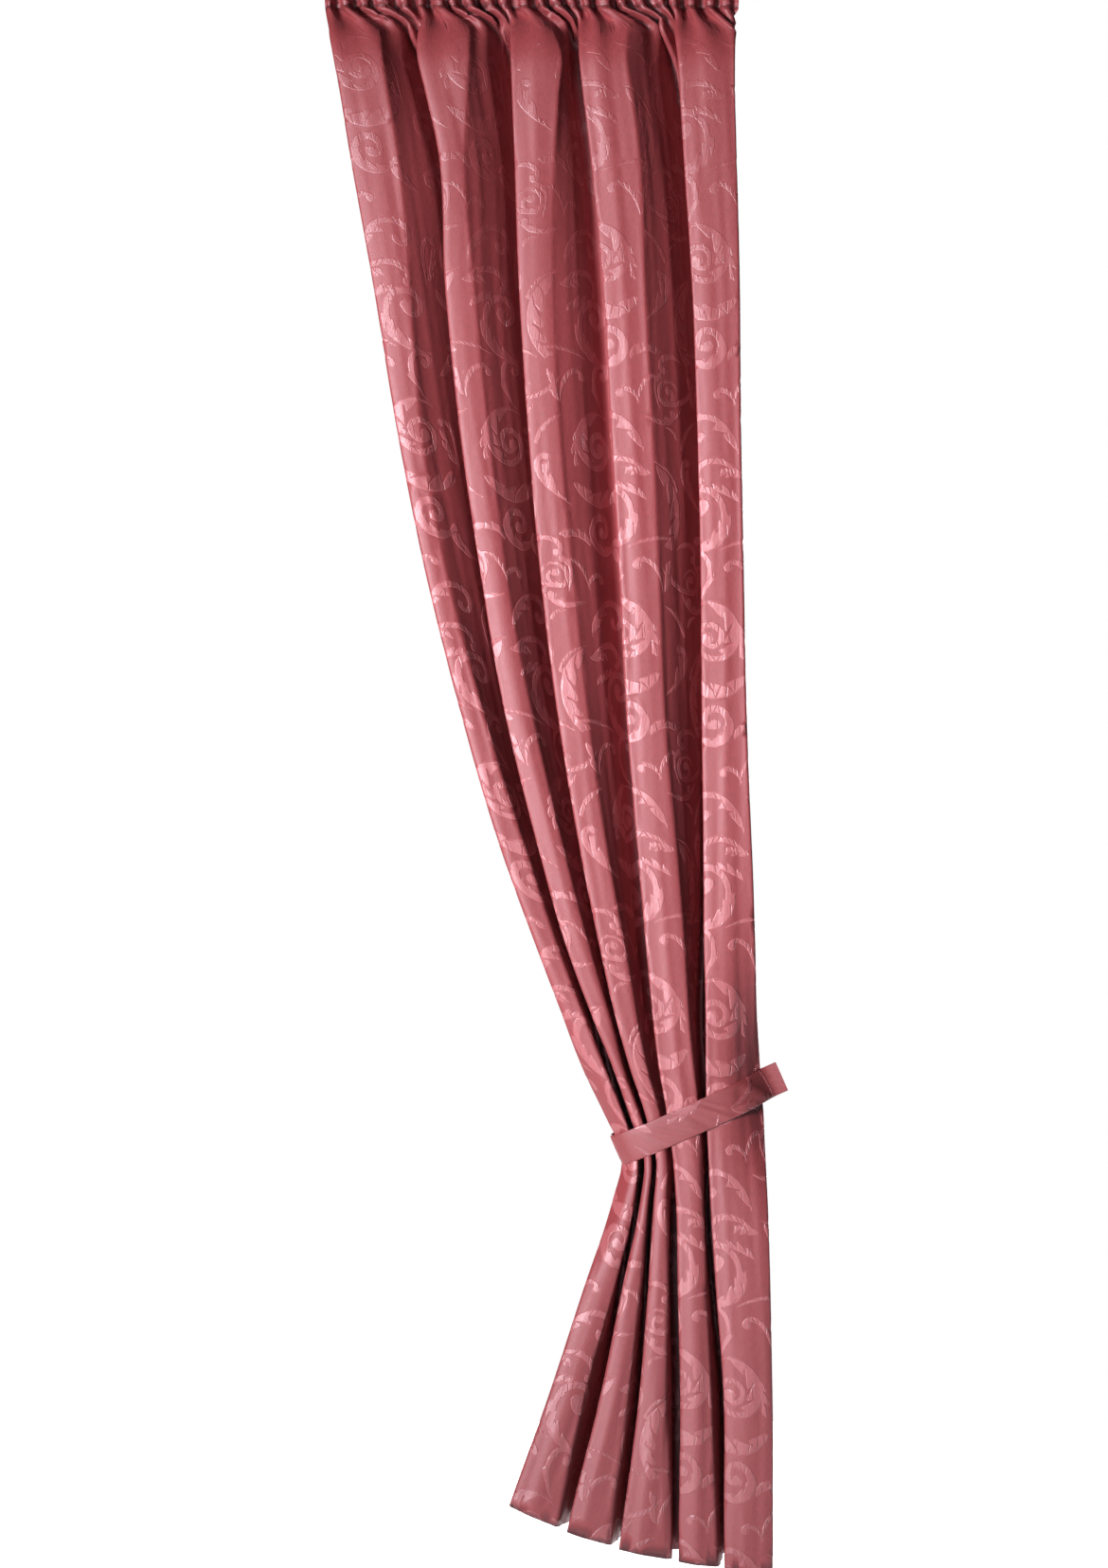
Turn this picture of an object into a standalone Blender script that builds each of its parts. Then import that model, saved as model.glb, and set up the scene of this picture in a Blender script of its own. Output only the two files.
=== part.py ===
"""Jacquard curtain, gathered at its head and drawn to the right by a tie-back band.

Metres, +Z up. The curtain faces -Y, and +X is to its right as it is looked at. The origin is the
middle of its top edge, so every drop below is measured down from there.
"""

import math
from collections import namedtuple

import bmesh
import bpy
import numpy as np

MM = 0.001

# The cloth, as it was cut and made up, in millimetres.
CLOTH_WIDTH = 1400
CLOTH_LENGTH = 2450
CLOTH_THICKNESS = 1
SIDE_TURN = 14  # the left side edge turns back this far
SIDE_TURN_WAY = (0.25, 0.97)  # and this way, as x and y

# How much of the width each fold holds: a strip that faces the room, and the cloth behind it.
FOLD_CLOTH = (315, 313, 240, 332)
LAST_CLOTH = CLOTH_WIDTH - sum(FOLD_CLOTH)

# One row for each height at which the folds were read. A strip runs from its left crest to its
# right bend, and then turns back to the valley behind the next strip. All are places along X but:
# drop, the distance below the top edge; half_depth, from the middle to the front or the back;
# overlap, how far a valley lies behind the next strip; crown, how far the middle of a strip stands
# proud of its edges; gather, the steepest turn of the small pleats in radians.
Section = namedtuple(
    "Section",
    "drop strip_1 bend_1 strip_2 bend_2 strip_3 bend_3 strip_4 bend_4 strip_5 edge"
    " half_depth overlap crown gather",
)
SECTIONS = (
    Section(0, -318, -236, -176, -95, -34, 30, 72, 160, 222, 318, 2, -2, 0, 1.62),
    Section(38, -317, -236, -176, -95, -34, 30, 72, 155, 222, 315, 2, -2, 0, 1.66),
    Section(75, -313, -234, -177, -96, -34, 34, 72, 150, 223, 314, 15, -4, 1, 1.00),
    Section(114, -306, -231, -178, -96, -33, 48, 72, 146, 225, 314, 34, 4, 2, 0.60),
    Section(170, -296, -221, -165, -99, -31, 43, 78, 154, 228, 315, 48, 14, 3, 0.30),
    Section(245, -283, -208, -147, -103, -28, 36, 88, 165, 232, 317, 52, 26, 3, 0.20),
    Section(463, -244, -187, -135, -87, -21, 33, 109, 174, 246, 321, 52, 38, 3, 0.00),
    Section(682, -208, -171, -113, -66, -7, 44, 122, 186, 254, 323, 52, 40, 3, 0.00),
    Section(900, -165, -133, -81, -39, 12, 63, 135, 197, 259, 327, 52, 38, 3, 0.00),
    Section(1119, -110, -75, -43, 0, 39, 85, 146, 206, 261, 332, 52, 34, 3, 0.00),
    Section(1338, -46, -7, 11, 52, 75, 117, 164, 225, 264, 341, 52, 30, 3, 0.00),
    Section(1483, 7, 42, 52, 90, 104, 144, 177, 237, 265, 347, 52, 28, 3, 0.00),
    Section(1585, 46, 81, 90, 119, 127, 161, 186, 244, 268, 352, 52, 24, 2, 0.00),
    Section(1673, 79, 116, 126, 143, 152, 178, 196, 253, 268, 358, 51, 20, 2, 0.00),
    Section(1745, 113, 146, 152, 169, 176, 199, 208, 259, 269, 362, 50, 16, 2, 0.00),
    Section(1813, 141, 166, 174, 185, 192, 209, 217, 263, 272, 365, 50, 16, 2, 0.00),
    Section(1877, 126, 160, 167, 181, 188, 211, 222, 266, 275, 366, 51, 12, 4, 0.00),
    Section(2008, 81, 129, 139, 171, 179, 212, 225, 272, 283, 369, 52, 15, 6, 0.00),
    Section(2183, 23, 81, 103, 151, 164, 211, 229, 279, 295, 372, 52, 24, 8, 0.00),
    Section(2357, -34, 43, 63, 127, 144, 213, 229, 284, 298, 371, 52, 30, 8, 0.00),
    Section(2460, -66, 22, 40, 114, 130, 213, 229, 287, 299, 369, 52, 30, 8, 0.00),
)
FOLDS = len(FOLD_CLOTH)
FULL_DEPTH = max(row.half_depth for row in SECTIONS)
OVERLAP_SHARE = (1.0, 0.8, 0.1, 0.7)  # each fold's own share of the overlap

# The hem climbs to the left, where the cloth takes a longer way round through the tie-back.
Hem = namedtuple("Hem", "cloth drop")
HEM = (
    Hem(0, 2341),
    Hem(14, 2344),
    Hem(315, 2385),
    Hem(628, 2416),
    Hem(868, 2433),
    Hem(1200, 2447),
    Hem(1400, CLOTH_LENGTH),
)

# The small pleats that the heading's cords draw up.
PLEATS = 24
COLUMNS_PER_PLEAT = 4
PLEATS_PLACED = 120  # down to here the columns of the panel's grid stay on the small pleats
FOLDS_PLACED = 420  # and from here they stay on the corners of the folds
PLEAT_FADE = 55  # the side hems are stiffer, so the small pleats grow over this much cloth
PLEAT_DRIFT = (0.45, 410, 0.30, 147)  # two slow waves, each a swing in radians and its length

# How the corners of a fold are rounded: the length of each leg that the curve takes away.
CREST_ROUND = 9
FACE_ROUND = 25
BEND_ROUND = 14
BACK_ROUND = 8
FOLD_ROUNDS = (CREST_ROUND, FACE_ROUND, BEND_ROUND) + (BACK_ROUND,) * 6

# How many of the panel's columns each leg of a fold takes, from its crest to the next one. The last
# strip has four legs: to its middle, its bend, its back and its side edge.
Legs = namedtuple("Legs", "middle bend back valley tuck across untuck rise crest")
FOLD_LEGS = (
    Legs(2, 2, 6, 1, 1, 1, 1, 1, 6),
    Legs(2, 2, 6, 1, 1, 1, 1, 1, 6),
    Legs(2, 2, 4, 1, 1, 1, 1, 1, 4),
    Legs(3, 3, 5, 1, 1, 1, 1, 1, 6),
)
LAST_LEGS = (3, 3, 5, 3)
COLUMN_LEAST = 3  # millimetres of cloth between two columns
SOFTNESS = 4  # how far along the cloth every bend is eased
HEADING_SOFTNESS = 36  # more of it where the small pleats are, so that they have room
LEG_SHARE = 0.46  # the most of a leg that one corner's curve takes
CREST_LOSS = 6  # what the curve at a crest takes off a fold's length
CORNER_POWER = 1.4  # what a curve takes off grows with this power of how far the line turns
CORNER_STEPS = 6
VALLEY_WIDTH = 24
VALLEY_SHOULDER = (8, 5)  # from each side of a valley to its bottom, across and back
TUCK_SPREAD = 20  # a valley opens by this much more as its tuck comes forward
TUCK_MOST = 0.80  # a tuck stops short of the front by the rest
SOLVER_STEPS = 30

# The cloth behind the last strip, which ends in the right side edge.
LAST_SET_IN = 8
LAST_REACH = 0.92
LAST_TAIL = (-0.60, -0.80)  # the way that its end turns in

# The tie-back band, and how it draws the folds into a bundle.
BAND_LEFT = (139, -1798)  # the middle of the band at its left turn, x and z
BAND_RIGHT = (390, -1687)  # the middle of its right end
BAND_WIDTH = 48
BAND_THICKNESS = 2.4
BAND_CLEARANCE = 0.4
BAND_END_GAP = 1.2  # between its two ends, which lie together
BAND_END_RUN = 26
BAND_CORNER_STEP = 12  # degrees between the points on a rounded corner
BUNDLE_POWER = 2.6
BUNDLE_REACH_UP = 190
BUNDLE_REACH_DOWN = 120
BUNDLE_LEFT_CLEAR = 14
BUNDLE_RIGHT_CLEAR = 62
BUNDLE_END_SET_IN = 40
BUNDLE_PAIRING = 3  # a fold's two back bends are this much further apart than evenly spread ones
BUNDLE_SLACK = 0.16  # the share of the cloth that is in creases too small to model there

LATTICE_STEP = 10
CLOTH_STEP = 2
HEM_STEPS = 3
ROW_DROPS = (
    0, 14, 38, 62, 88, 118, 160, 215, 285, 375, 490, 630, 780, 930, 1080, 1230,
    1370, 1485, 1575, 1645, 1705, 1760, 1813, 1870, 1945, 2050, 2180, 2320, 2450,
)  # fmt: skip

ROSE = (0.50, 0.135, 0.165, 1)
ROSE_BAND = (0.47, 0.15, 0.17, 1)
CLOTH_ROUGHNESS = 0.62


def clear_scene():
    for obj in list(bpy.data.objects):
        bpy.data.objects.remove(obj, do_unlink=True)


def cloth_material(name, colour):
    material = bpy.data.materials.new(name)
    material.use_nodes = True
    shader = material.node_tree.nodes["Principled BSDF"]
    shader.inputs["Base Color"].default_value = colour
    shader.inputs["Roughness"].default_value = CLOTH_ROUGHNESS
    shader.inputs["Metallic"].default_value = 0
    return material


def section_at(drop):
    """The row of SECTIONS at this drop, eased between the rows that were read."""
    rows = np.array(SECTIONS, float)
    drops = rows[:, 0]
    slopes = np.gradient(rows, drops, axis=0)
    drop = min(max(drop, drops[0]), drops[-1])
    upper = min(int(np.searchsorted(drops, drop, side="right")) - 1, len(rows) - 2)
    span = drops[upper + 1] - drops[upper]
    t = (drop - drops[upper]) / span
    eased = (
        (2 * t**3 - 3 * t**2 + 1) * rows[upper]
        + (t**3 - 2 * t**2 + t) * span * slopes[upper]
        + (3 * t**2 - 2 * t**3) * rows[upper + 1]
        + (t**3 - t**2) * span * slopes[upper + 1]
    )
    return Section(*eased)


def band_drop(x):
    """How far down the middle of the band is at this x."""
    rise = (BAND_RIGHT[1] - BAND_LEFT[1]) / (BAND_RIGHT[0] - BAND_LEFT[0])
    return -(BAND_LEFT[1] + rise * (x - BAND_LEFT[0]))


def bundled(x, drop):
    """1 where the band holds the cloth, easing to 0 well above it and below it."""
    above = band_drop(x) - drop
    reach = np.where(above > 0, BUNDLE_REACH_UP, BUNDLE_REACH_DOWN)
    return np.exp(-((above / reach) ** 2))


def half_depth(x, row):
    """From the middle of the folds to their front or back, less at the bundle's two rounded ends."""
    middle = (row.strip_1 + row.edge) / 2
    half_width = (row.edge - row.strip_1) / 2
    across = np.clip(np.abs(x - middle) / half_width, 0, 1)
    rounded_end = (1 - across**BUNDLE_POWER) ** (1 / BUNDLE_POWER)
    share = bundled(x, row.drop)
    return row.half_depth * (1 - share + share * rounded_end)


def gathered_share(turn):
    """A sine-generated wave: the share of its own length that it spans, its forward swing and its
    side swing, each as a share of one pleat's cloth. The series are those of the Bessel functions.
    """
    span = 1 - turn**2 / 4 + turn**4 / 64 - turn**6 / 2304 + turn**8 / 147456
    forward = (turn / 2 - turn**3 / 16 + turn**5 / 384 - turn**7 / 18432) / math.pi
    side = (turn**2 / 8 - turn**4 / 96 + turn**6 / 3072) / (2 * math.pi)
    return span, forward, side


def valley_places(row):
    """The x of each fold's two back bends, one row for a fold."""
    crests = np.array([row.strip_2, row.strip_3, row.strip_4, row.strip_5])
    middles = crests + row.overlap * np.array(OVERLAP_SHARE)
    spread = VALLEY_WIDTH * row.half_depth / FULL_DEPTH / 2
    hung = np.stack([middles - spread, middles + spread], axis=1)
    even = np.linspace(
        row.strip_1 + BUNDLE_LEFT_CLEAR, row.edge - BUNDLE_RIGHT_CLEAR, 2 * FOLDS
    ).reshape(FOLDS, 2) + np.array([-BUNDLE_PAIRING, BUNDLE_PAIRING])
    share = bundled(hung, row.drop)
    return hung * (1 - share) + even * share


def fold_corners(row, reach, tuck):
    """Each fold's corners from its crest to the next one, as an array of folds, corners, x and y.

    reach is the share of the depth that the valley goes back, and tuck the share by which the
    middle of the valley comes forward again, between the cloth on either side of it.
    """
    crests = np.array([row.strip_1, row.strip_2, row.strip_3, row.strip_4, row.strip_5])
    bends = np.array([row.bend_1, row.bend_2, row.bend_3, row.bend_4])
    faces = (crests[:-1] + bends) / 2
    valleys = valley_places(row)
    opened = TUCK_SPREAD * tuck * (1 - bundled(valleys.mean(axis=1), row.drop)) / 2
    left = valleys[:, 0] - opened
    right = valleys[:, 1] + opened
    left_y = (2 * reach - 1) * half_depth(left, row)
    right_y = (2 * reach - 1) * half_depth(right, row)
    across, back = np.array(VALLEY_SHOULDER)[:, None] * row.half_depth / FULL_DEPTH
    depth = 1 - tuck * TUCK_MOST
    left_side = bends + (left - bends) * depth
    right_side = crests[1:] + (right - crests[1:]) * depth
    tuck_y = (left_y + right_y) / 2 * depth - half_depth((left + right) / 2, row) * (1 - depth)
    tuck_half = np.minimum((right_side - left_side) / 2 - across, across / 2)
    corners = (
        (crests[:-1], -half_depth(crests[:-1], row)),
        (faces, -half_depth(faces, row) - row.crown),
        (bends, -half_depth(bends, row)),
        (left, left_y - back),
        (left + across, left_y),
        ((left_side + right_side) / 2 - tuck_half, tuck_y),
        ((left_side + right_side) / 2 + tuck_half, tuck_y),
        (right - across, right_y),
        (right, right_y - back),
        (crests[1:], -half_depth(crests[1:], row)),
    )
    return np.array(corners).transpose(2, 0, 1)


def last_corners(row, share):
    """The last strip, its right bend, and the cloth that turns in behind it to the side edge."""
    face = (row.strip_5 + row.edge) / 2
    crest = np.array([row.strip_5, -half_depth(row.strip_5, row)])
    middle = np.array([face, -half_depth(face, row) - row.crown])
    bend = np.array([row.edge, -half_depth(row.edge, row)])
    back_x = row.edge - LAST_SET_IN - BUNDLE_END_SET_IN * bundled(row.edge, row.drop)
    back = np.array([back_x, (2 * LAST_REACH - 1) * half_depth(back_x, row)])
    left_over = share * LAST_CLOTH - np.linalg.norm(middle - crest) - np.linalg.norm(bend - middle)
    leg = np.linalg.norm(back - bend)
    if left_over < leg:
        end = bend + (back - bend) * max(left_over, 1) / leg
        back = (bend + end) / 2
    else:
        tail = (left_over - leg) * (1 - min(row.gather, 1))
        end = back + tail * np.array(LAST_TAIL)
    return np.array([crest, middle, bend, back, end])


def rounded_lengths(corners, rounds):
    """The length of each line once its corners are rounded, near enough."""
    legs = np.diff(corners, axis=-2)
    lengths = np.linalg.norm(legs, axis=-1)
    into, out_of = lengths[..., :-1], lengths[..., 1:]
    straight = (legs[..., :-1, :] * legs[..., 1:, :]).sum(axis=-1) / np.maximum(into * out_of, 1e-9)
    taken = np.minimum(rounds, LEG_SHARE * np.minimum(into, out_of))
    lost = taken * np.clip((1 - straight) / 2, 0, 1) ** CORNER_POWER
    return lengths.sum(axis=-1) - lost.sum(axis=-1)


def eased(line, reach):
    """This evenly spaced line with its bends eased over this many steps, and its ends kept."""
    width = int(3 * reach) + 1
    steps = np.arange(-width, width + 1)
    weights = np.exp(-0.5 * (steps / reach) ** 2)
    before = 2 * line[0] - line[width:0:-1]
    after = 2 * line[-1] - line[-2 : -width - 2 : -1]
    return np.convolve(np.concatenate([before, line, after]), weights / weights.sum(), "valid")


def solve_folds(row, share):
    """reach and tuck of each fold such that it holds its cloth, less what the small pleats take."""
    wanted = share * (np.array(FOLD_CLOTH, float) - np.array([SIDE_TURN, 0, 0, 0]) + CREST_LOSS)
    bends = np.array([row.bend_1, row.bend_2, row.bend_3, row.bend_4])
    wanted *= 1 - BUNDLE_SLACK * bundled(bends, row.drop)
    rounds = np.array(FOLD_ROUNDS[1:])
    low = np.zeros(FOLDS)
    high = np.full(FOLDS, 2.0)
    for _ in range(SOLVER_STEPS):
        guess = (low + high) / 2
        corners = fold_corners(row, np.minimum(guess, 1), np.maximum(guess - 1, 0))
        short = rounded_lengths(corners, rounds) < wanted
        low = np.where(short, guess, low)
        high = np.where(short, high, guess)
    return np.minimum(guess, 1), np.maximum(guess - 1, 0)


def rounded(corners, rounds):
    """The line through these corners with each one rounded, and the point index of each corner."""
    points = [corners[0]]
    marks = [0]
    for before, corner, after, cut in zip(corners, corners[1:], corners[2:], rounds):
        inward = before - corner
        outward = after - corner
        leg = min(np.linalg.norm(inward), np.linalg.norm(outward))
        taken = min(cut, LEG_SHARE * leg)
        start = corner + inward * taken / max(np.linalg.norm(inward), 1e-9)
        end = corner + outward * taken / max(np.linalg.norm(outward), 1e-9)
        marks.append(len(points) + CORNER_STEPS // 2)
        for t in np.linspace(0, 1, CORNER_STEPS + 1):
            points.append((1 - t) ** 2 * start + 2 * t * (1 - t) * corner + t**2 * end)
    points.append(corners[-1])
    marks.append(len(points) - 1)
    return np.array(points), marks


def section_line(drop, cloth):
    """x and y, in millimetres, of these places across the cloth at this drop, and the places of
    the folds' corners."""
    row = section_at(drop)
    share, forward, side = gathered_share(max(row.gather, 0))
    folds = fold_corners(row, *solve_folds(row, share))
    first_turn = folds[0, 0] + share * SIDE_TURN * np.array(SIDE_TURN_WAY)
    corners = np.concatenate([[first_turn], folds[:, :-1].reshape(-1, 2), last_corners(row, share)])
    points, marks = rounded(corners, FOLD_ROUNDS * FOLDS + FOLD_ROUNDS[:4])
    along = np.concatenate([[0], np.cumsum(np.linalg.norm(np.diff(points, axis=0), axis=1))])
    crest_marks = [marks[0], *marks[1 : 2 + FOLDS * len(FOLD_ROUNDS) : len(FOLD_ROUNDS)], marks[-1]]
    place = np.interp(along, along[crest_marks], crest_places())
    corner_places = place[marks]
    softness = (SOFTNESS + HEADING_SOFTNESS * min(row.gather, 1)) / CLOTH_STEP
    x = eased(np.interp(cloth, place, points[:, 0]), softness)
    y = eased(np.interp(cloth, place, points[:, 1]), softness)
    slope = np.stack([np.gradient(x, cloth), np.gradient(y, cloth)])
    slope /= np.maximum(np.linalg.norm(slope, axis=0), 1e-9)
    from_edge = np.minimum(cloth, CLOTH_WIDTH - cloth) / PLEAT_FADE
    pleat_cloth = CLOTH_WIDTH / PLEATS * np.sin(math.pi / 2 * np.minimum(from_edge, 1))
    wave = pleat_phase(cloth)
    out = forward * pleat_cloth * np.cos(wave)
    along_line = side * pleat_cloth * np.sin(2 * wave)
    x_out = x + slope[0] * along_line + slope[1] * out
    y_out = y + slope[1] * along_line - slope[0] * out
    return np.stack([x_out, y_out]), corner_places


def crest_places():
    """Where the side edges and the crests of the strips are across the cloth."""
    return np.cumsum([0, SIDE_TURN, FOLD_CLOTH[0] - SIDE_TURN, *FOLD_CLOTH[1:], LAST_CLOTH])


def pleat_phase(cloth):
    swing_a, length_a, swing_b, length_b = PLEAT_DRIFT
    drift = swing_a * np.sin(math.tau * cloth / length_a) + swing_b * np.sin(math.tau * cloth / length_b)
    return math.tau * PLEATS * cloth / CLOTH_WIDTH + math.pi + drift


class Drape:
    """The hanging cloth, as a lattice of sections that is read between its points."""

    def __init__(self):
        self.cloth = np.arange(0, CLOTH_WIDTH + CLOTH_STEP, CLOTH_STEP, dtype=float)
        self.drops = np.arange(0, SECTIONS[-1].drop + LATTICE_STEP, LATTICE_STEP, dtype=float)
        sections = [section_line(drop, self.cloth) for drop in self.drops]
        self.lines = np.array([line for line, _ in sections])
        self.corners = np.array([corners for _, corners in sections])

    def at(self, cloth, drop):
        """x, y and z in millimetres."""
        i = np.clip((drop / LATTICE_STEP).astype(int), 0, len(self.drops) - 2)
        j = np.clip((cloth / CLOTH_STEP).astype(int), 0, len(self.cloth) - 2)
        s = np.clip(drop / LATTICE_STEP - i, 0, 1)
        t = np.clip(cloth / CLOTH_STEP - j, 0, 1)
        found = [
            (1 - s) * (1 - t) * side[i, j]
            + (1 - s) * t * side[i, j + 1]
            + s * (1 - t) * side[i + 1, j]
            + s * t * side[i + 1, j + 1]
            for side in (self.lines[:, 0], self.lines[:, 1])
        ]
        return np.stack([*found, -drop], axis=-1)


    def corners_along(self, share):
        """Where the folds' corners are across the cloth, this share of the way down to its hem."""
        places = self.corners[0]
        for _ in range(HEM_STEPS):
            drops = share * hem_drop(places)
            places = [np.interp(d, self.drops, found) for d, found in zip(drops, self.corners.T)]
        return np.array(places)


def hem_drop(cloth):
    return np.interp(cloth, [row.cloth for row in HEM], [row.drop for row in HEM])


def pleat_columns():
    """Places across the cloth at the crest, flanks and trough of each small pleat."""
    fine = np.arange(0, CLOTH_WIDTH + 1, 1, dtype=float)
    phase = pleat_phase(fine)
    count = PLEATS * COLUMNS_PER_PLEAT
    return np.interp(np.linspace(phase[0], phase[-1], count + 1), phase, fine)


def fold_columns(corners):
    """Places across the cloth at each corner of the folds, and evenly along each leg between, but
    spread where corners come together."""
    legs = (1, *(count for fold in FOLD_LEGS for count in fold), *LAST_LEGS)
    places = np.interp(np.arange(sum(legs) + 1), np.cumsum([0, *legs]), corners)
    spread = np.cumsum([0, *np.maximum(np.diff(places), COLUMN_LEAST)])
    crests = np.cumsum([0, 1, *(sum(fold) for fold in FOLD_LEGS), sum(LAST_LEGS)])
    return np.interp(spread, spread[crests], crest_places())


def panel_row(drape, share):
    """One row of the panel's grid, this share of the way from its top edge to its hem."""
    drop = share * CLOTH_LENGTH
    blend = min(max((drop - PLEATS_PLACED) / (FOLDS_PLACED - PLEATS_PLACED), 0), 1)
    blend = blend * blend * (3 - 2 * blend)
    cloth = pleat_columns() * (1 - blend) + fold_columns(drape.corners_along(share)) * blend
    return drape.at(cloth, share * hem_drop(cloth))


def thickened(name, material, mesh, thickness):
    obj = bpy.data.objects.new(name, mesh)
    bpy.context.scene.collection.objects.link(obj)
    obj.data.materials.append(material)
    solid = obj.modifiers.new("Thickness", "SOLIDIFY")
    solid.thickness = thickness * MM
    solid.offset = 0
    return obj


def grid_mesh(name, points):
    """A sheet of triangles through an array of rows, columns and coordinates, facing -Y."""
    rows, columns = points.shape[:2]
    bm = bmesh.new()
    grid = [[bm.verts.new(point * MM) for point in row] for row in points]
    for i in range(rows - 1):
        for j in range(columns - 1):
            bm.faces.new((grid[i][j], grid[i + 1][j], grid[i + 1][j + 1]))
            bm.faces.new((grid[i][j], grid[i + 1][j + 1], grid[i][j + 1]))
    mesh = bpy.data.meshes.new(name)
    bm.to_mesh(mesh)
    bm.free()
    return mesh


def make_panel(drape):
    """The curtain's one length of cloth, from the frill above its heading to its hem."""
    points = np.array([panel_row(drape, drop / CLOTH_LENGTH) for drop in ROW_DROPS])
    mesh = grid_mesh("curtain_panel", points)
    return thickened("curtain_panel", cloth_material("jacquard", ROSE), mesh, CLOTH_THICKNESS)


def band_frame():
    """The band's middle left point, the direction it rises in, and the direction across it."""
    start = np.array([BAND_LEFT[0], 0, BAND_LEFT[1]], float)
    end = np.array([BAND_RIGHT[0], 0, BAND_RIGHT[1]], float)
    rising = (end - start) / np.linalg.norm(end - start)
    return start, end, rising, np.array([-rising[2], 0, rising[0]])


def held_outline(panel):
    """The points of the panel's solid that lie under the band, along it and front to back."""
    start, _, rising, across = band_frame()
    graph = bpy.context.evaluated_depsgraph_get()
    bm = bmesh.new()
    bm.from_object(panel, graph)
    for side in (-1, 1):
        cut = start + side * BAND_WIDTH / 2 * across
        bmesh.ops.bisect_plane(
            bm,
            geom=bm.verts[:] + bm.edges[:] + bm.faces[:],
            plane_co=cut * MM,
            plane_no=side * across,
            clear_outer=True,
        )
    points = np.array([vert.co[:] for vert in bm.verts]) / MM - start
    bm.free()
    return np.stack([points @ rising, points[:, 1]], axis=1)


def hull(points):
    """The convex outline of flat points, anticlockwise."""
    ordered = sorted(map(tuple, points))

    def half(run):
        kept = []
        for x, y in run:
            while len(kept) > 1 and (
                (kept[-1][0] - kept[-2][0]) * (y - kept[-2][1])
                <= (kept[-1][1] - kept[-2][1]) * (x - kept[-2][0])
            ):
                kept.pop()
            kept.append((x, y))
        return kept[:-1]

    return np.array(half(ordered) + half(reversed(ordered)))


def band_path(panel):
    """The middle of the band's thickness, from its front end round the bundle to its back end."""
    start, end, rising, _ = band_frame()
    reach = np.linalg.norm(end - start)
    stand_off = BAND_CLEARANCE + BAND_THICKNESS / 2
    end_half = (BAND_END_GAP + BAND_THICKNESS) / 2
    tip = np.array([[reach - BAND_END_RUN, 0.0]])
    outline = hull(np.concatenate([held_outline(panel), tip]))
    first = int(np.argmax(outline[:, 0]))
    outline = np.roll(outline, -first, axis=0)[::-1]
    outline = np.roll(outline, 1, axis=0)
    path = [(reach, -end_half), (reach - BAND_END_RUN, -end_half)]
    count = len(outline)
    for k in range(1, count):
        before, corner, after = outline[k - 1], outline[k], outline[(k + 1) % count]
        into, out_of = corner - before, after - corner
        angle = math.atan2(into[0], -into[1])
        turned = math.atan2(out_of[0], -out_of[1])
        swing = (turned - angle + math.pi) % math.tau - math.pi
        steps = max(int(abs(swing) / math.radians(BAND_CORNER_STEP)), 1)
        for step in range(steps + 1):
            heading = angle + swing * step / steps
            outward = np.array([math.cos(heading), math.sin(heading)])
            path.append(tuple(corner + stand_off * outward))
    path += [(reach - BAND_END_RUN, end_half), (reach, end_half)]
    return np.array(path)


def make_tie_back(panel):
    """One strip laid round the bundle, its two ends brought together at the right."""
    start, _, rising, across = band_frame()
    path = band_path(panel)
    middle = start + path[:, :1] * rising + path[:, 1:] * np.array([0, 1, 0])
    edges = np.array([middle - across * BAND_WIDTH / 2, middle + across * BAND_WIDTH / 2])
    mesh = grid_mesh("tie_back", edges)
    return thickened("tie_back", cloth_material("jacquard_band", ROSE_BAND), mesh, BAND_THICKNESS)


def main():
    clear_scene()
    panel = make_panel(Drape())
    bpy.context.view_layer.update()
    make_tie_back(panel)


if __name__ == "__main__":
    main()
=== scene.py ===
"""The jacquard curtain drawn aside by its tie-back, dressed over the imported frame.

Metres, +Z up. The curtain faces -Y and hangs from the origin, so every drop is measured down from
there. The cloth's own places are in millimetres: across it from its left side edge, and down it
from its top edge.
"""

import math
from collections import namedtuple

import bpy
import numpy as np
from bpy.props import FloatProperty, FloatVectorProperty, PointerProperty
from bpy.types import Operator, Panel, PropertyGroup
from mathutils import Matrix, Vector
from mathutils.geometry import convex_hull_2d, delaunay_2d_cdt
from numpy.linalg import norm


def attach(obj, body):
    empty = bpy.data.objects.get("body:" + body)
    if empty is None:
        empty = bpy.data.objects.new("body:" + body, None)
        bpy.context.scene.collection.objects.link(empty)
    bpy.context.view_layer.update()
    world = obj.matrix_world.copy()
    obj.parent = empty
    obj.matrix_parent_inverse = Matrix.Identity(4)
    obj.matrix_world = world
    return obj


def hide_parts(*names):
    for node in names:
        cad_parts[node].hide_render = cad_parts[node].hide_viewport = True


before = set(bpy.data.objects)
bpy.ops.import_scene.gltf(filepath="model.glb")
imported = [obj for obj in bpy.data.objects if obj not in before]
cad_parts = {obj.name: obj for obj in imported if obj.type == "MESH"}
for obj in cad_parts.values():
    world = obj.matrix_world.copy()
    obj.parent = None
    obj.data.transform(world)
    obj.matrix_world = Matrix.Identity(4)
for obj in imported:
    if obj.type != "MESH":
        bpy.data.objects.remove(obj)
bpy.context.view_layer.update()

bl_info = {
    "name": "Jacquard curtain with tie-back",
    "version": (1, 0, 0),
    "blender": (4, 5, 0),
    "location": "View3D > Sidebar > Curtain",
    "description": "Makes a gathered jacquard curtain, its tie-back band and a plain studio",
    "category": "Add Mesh",
}

MM = 0.001
LEAST = 1e-9  # no length is divided by less

# The cloth, as it was cut and made up.
CLOTH_WIDTH = 1400
CLOTH_LENGTH = 2450
SIDE_TURN = 14  # the left side edge turns back this far
SIDE_TURN_WAY = (0.25, 0.97)  # and this way, as x and y

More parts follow.
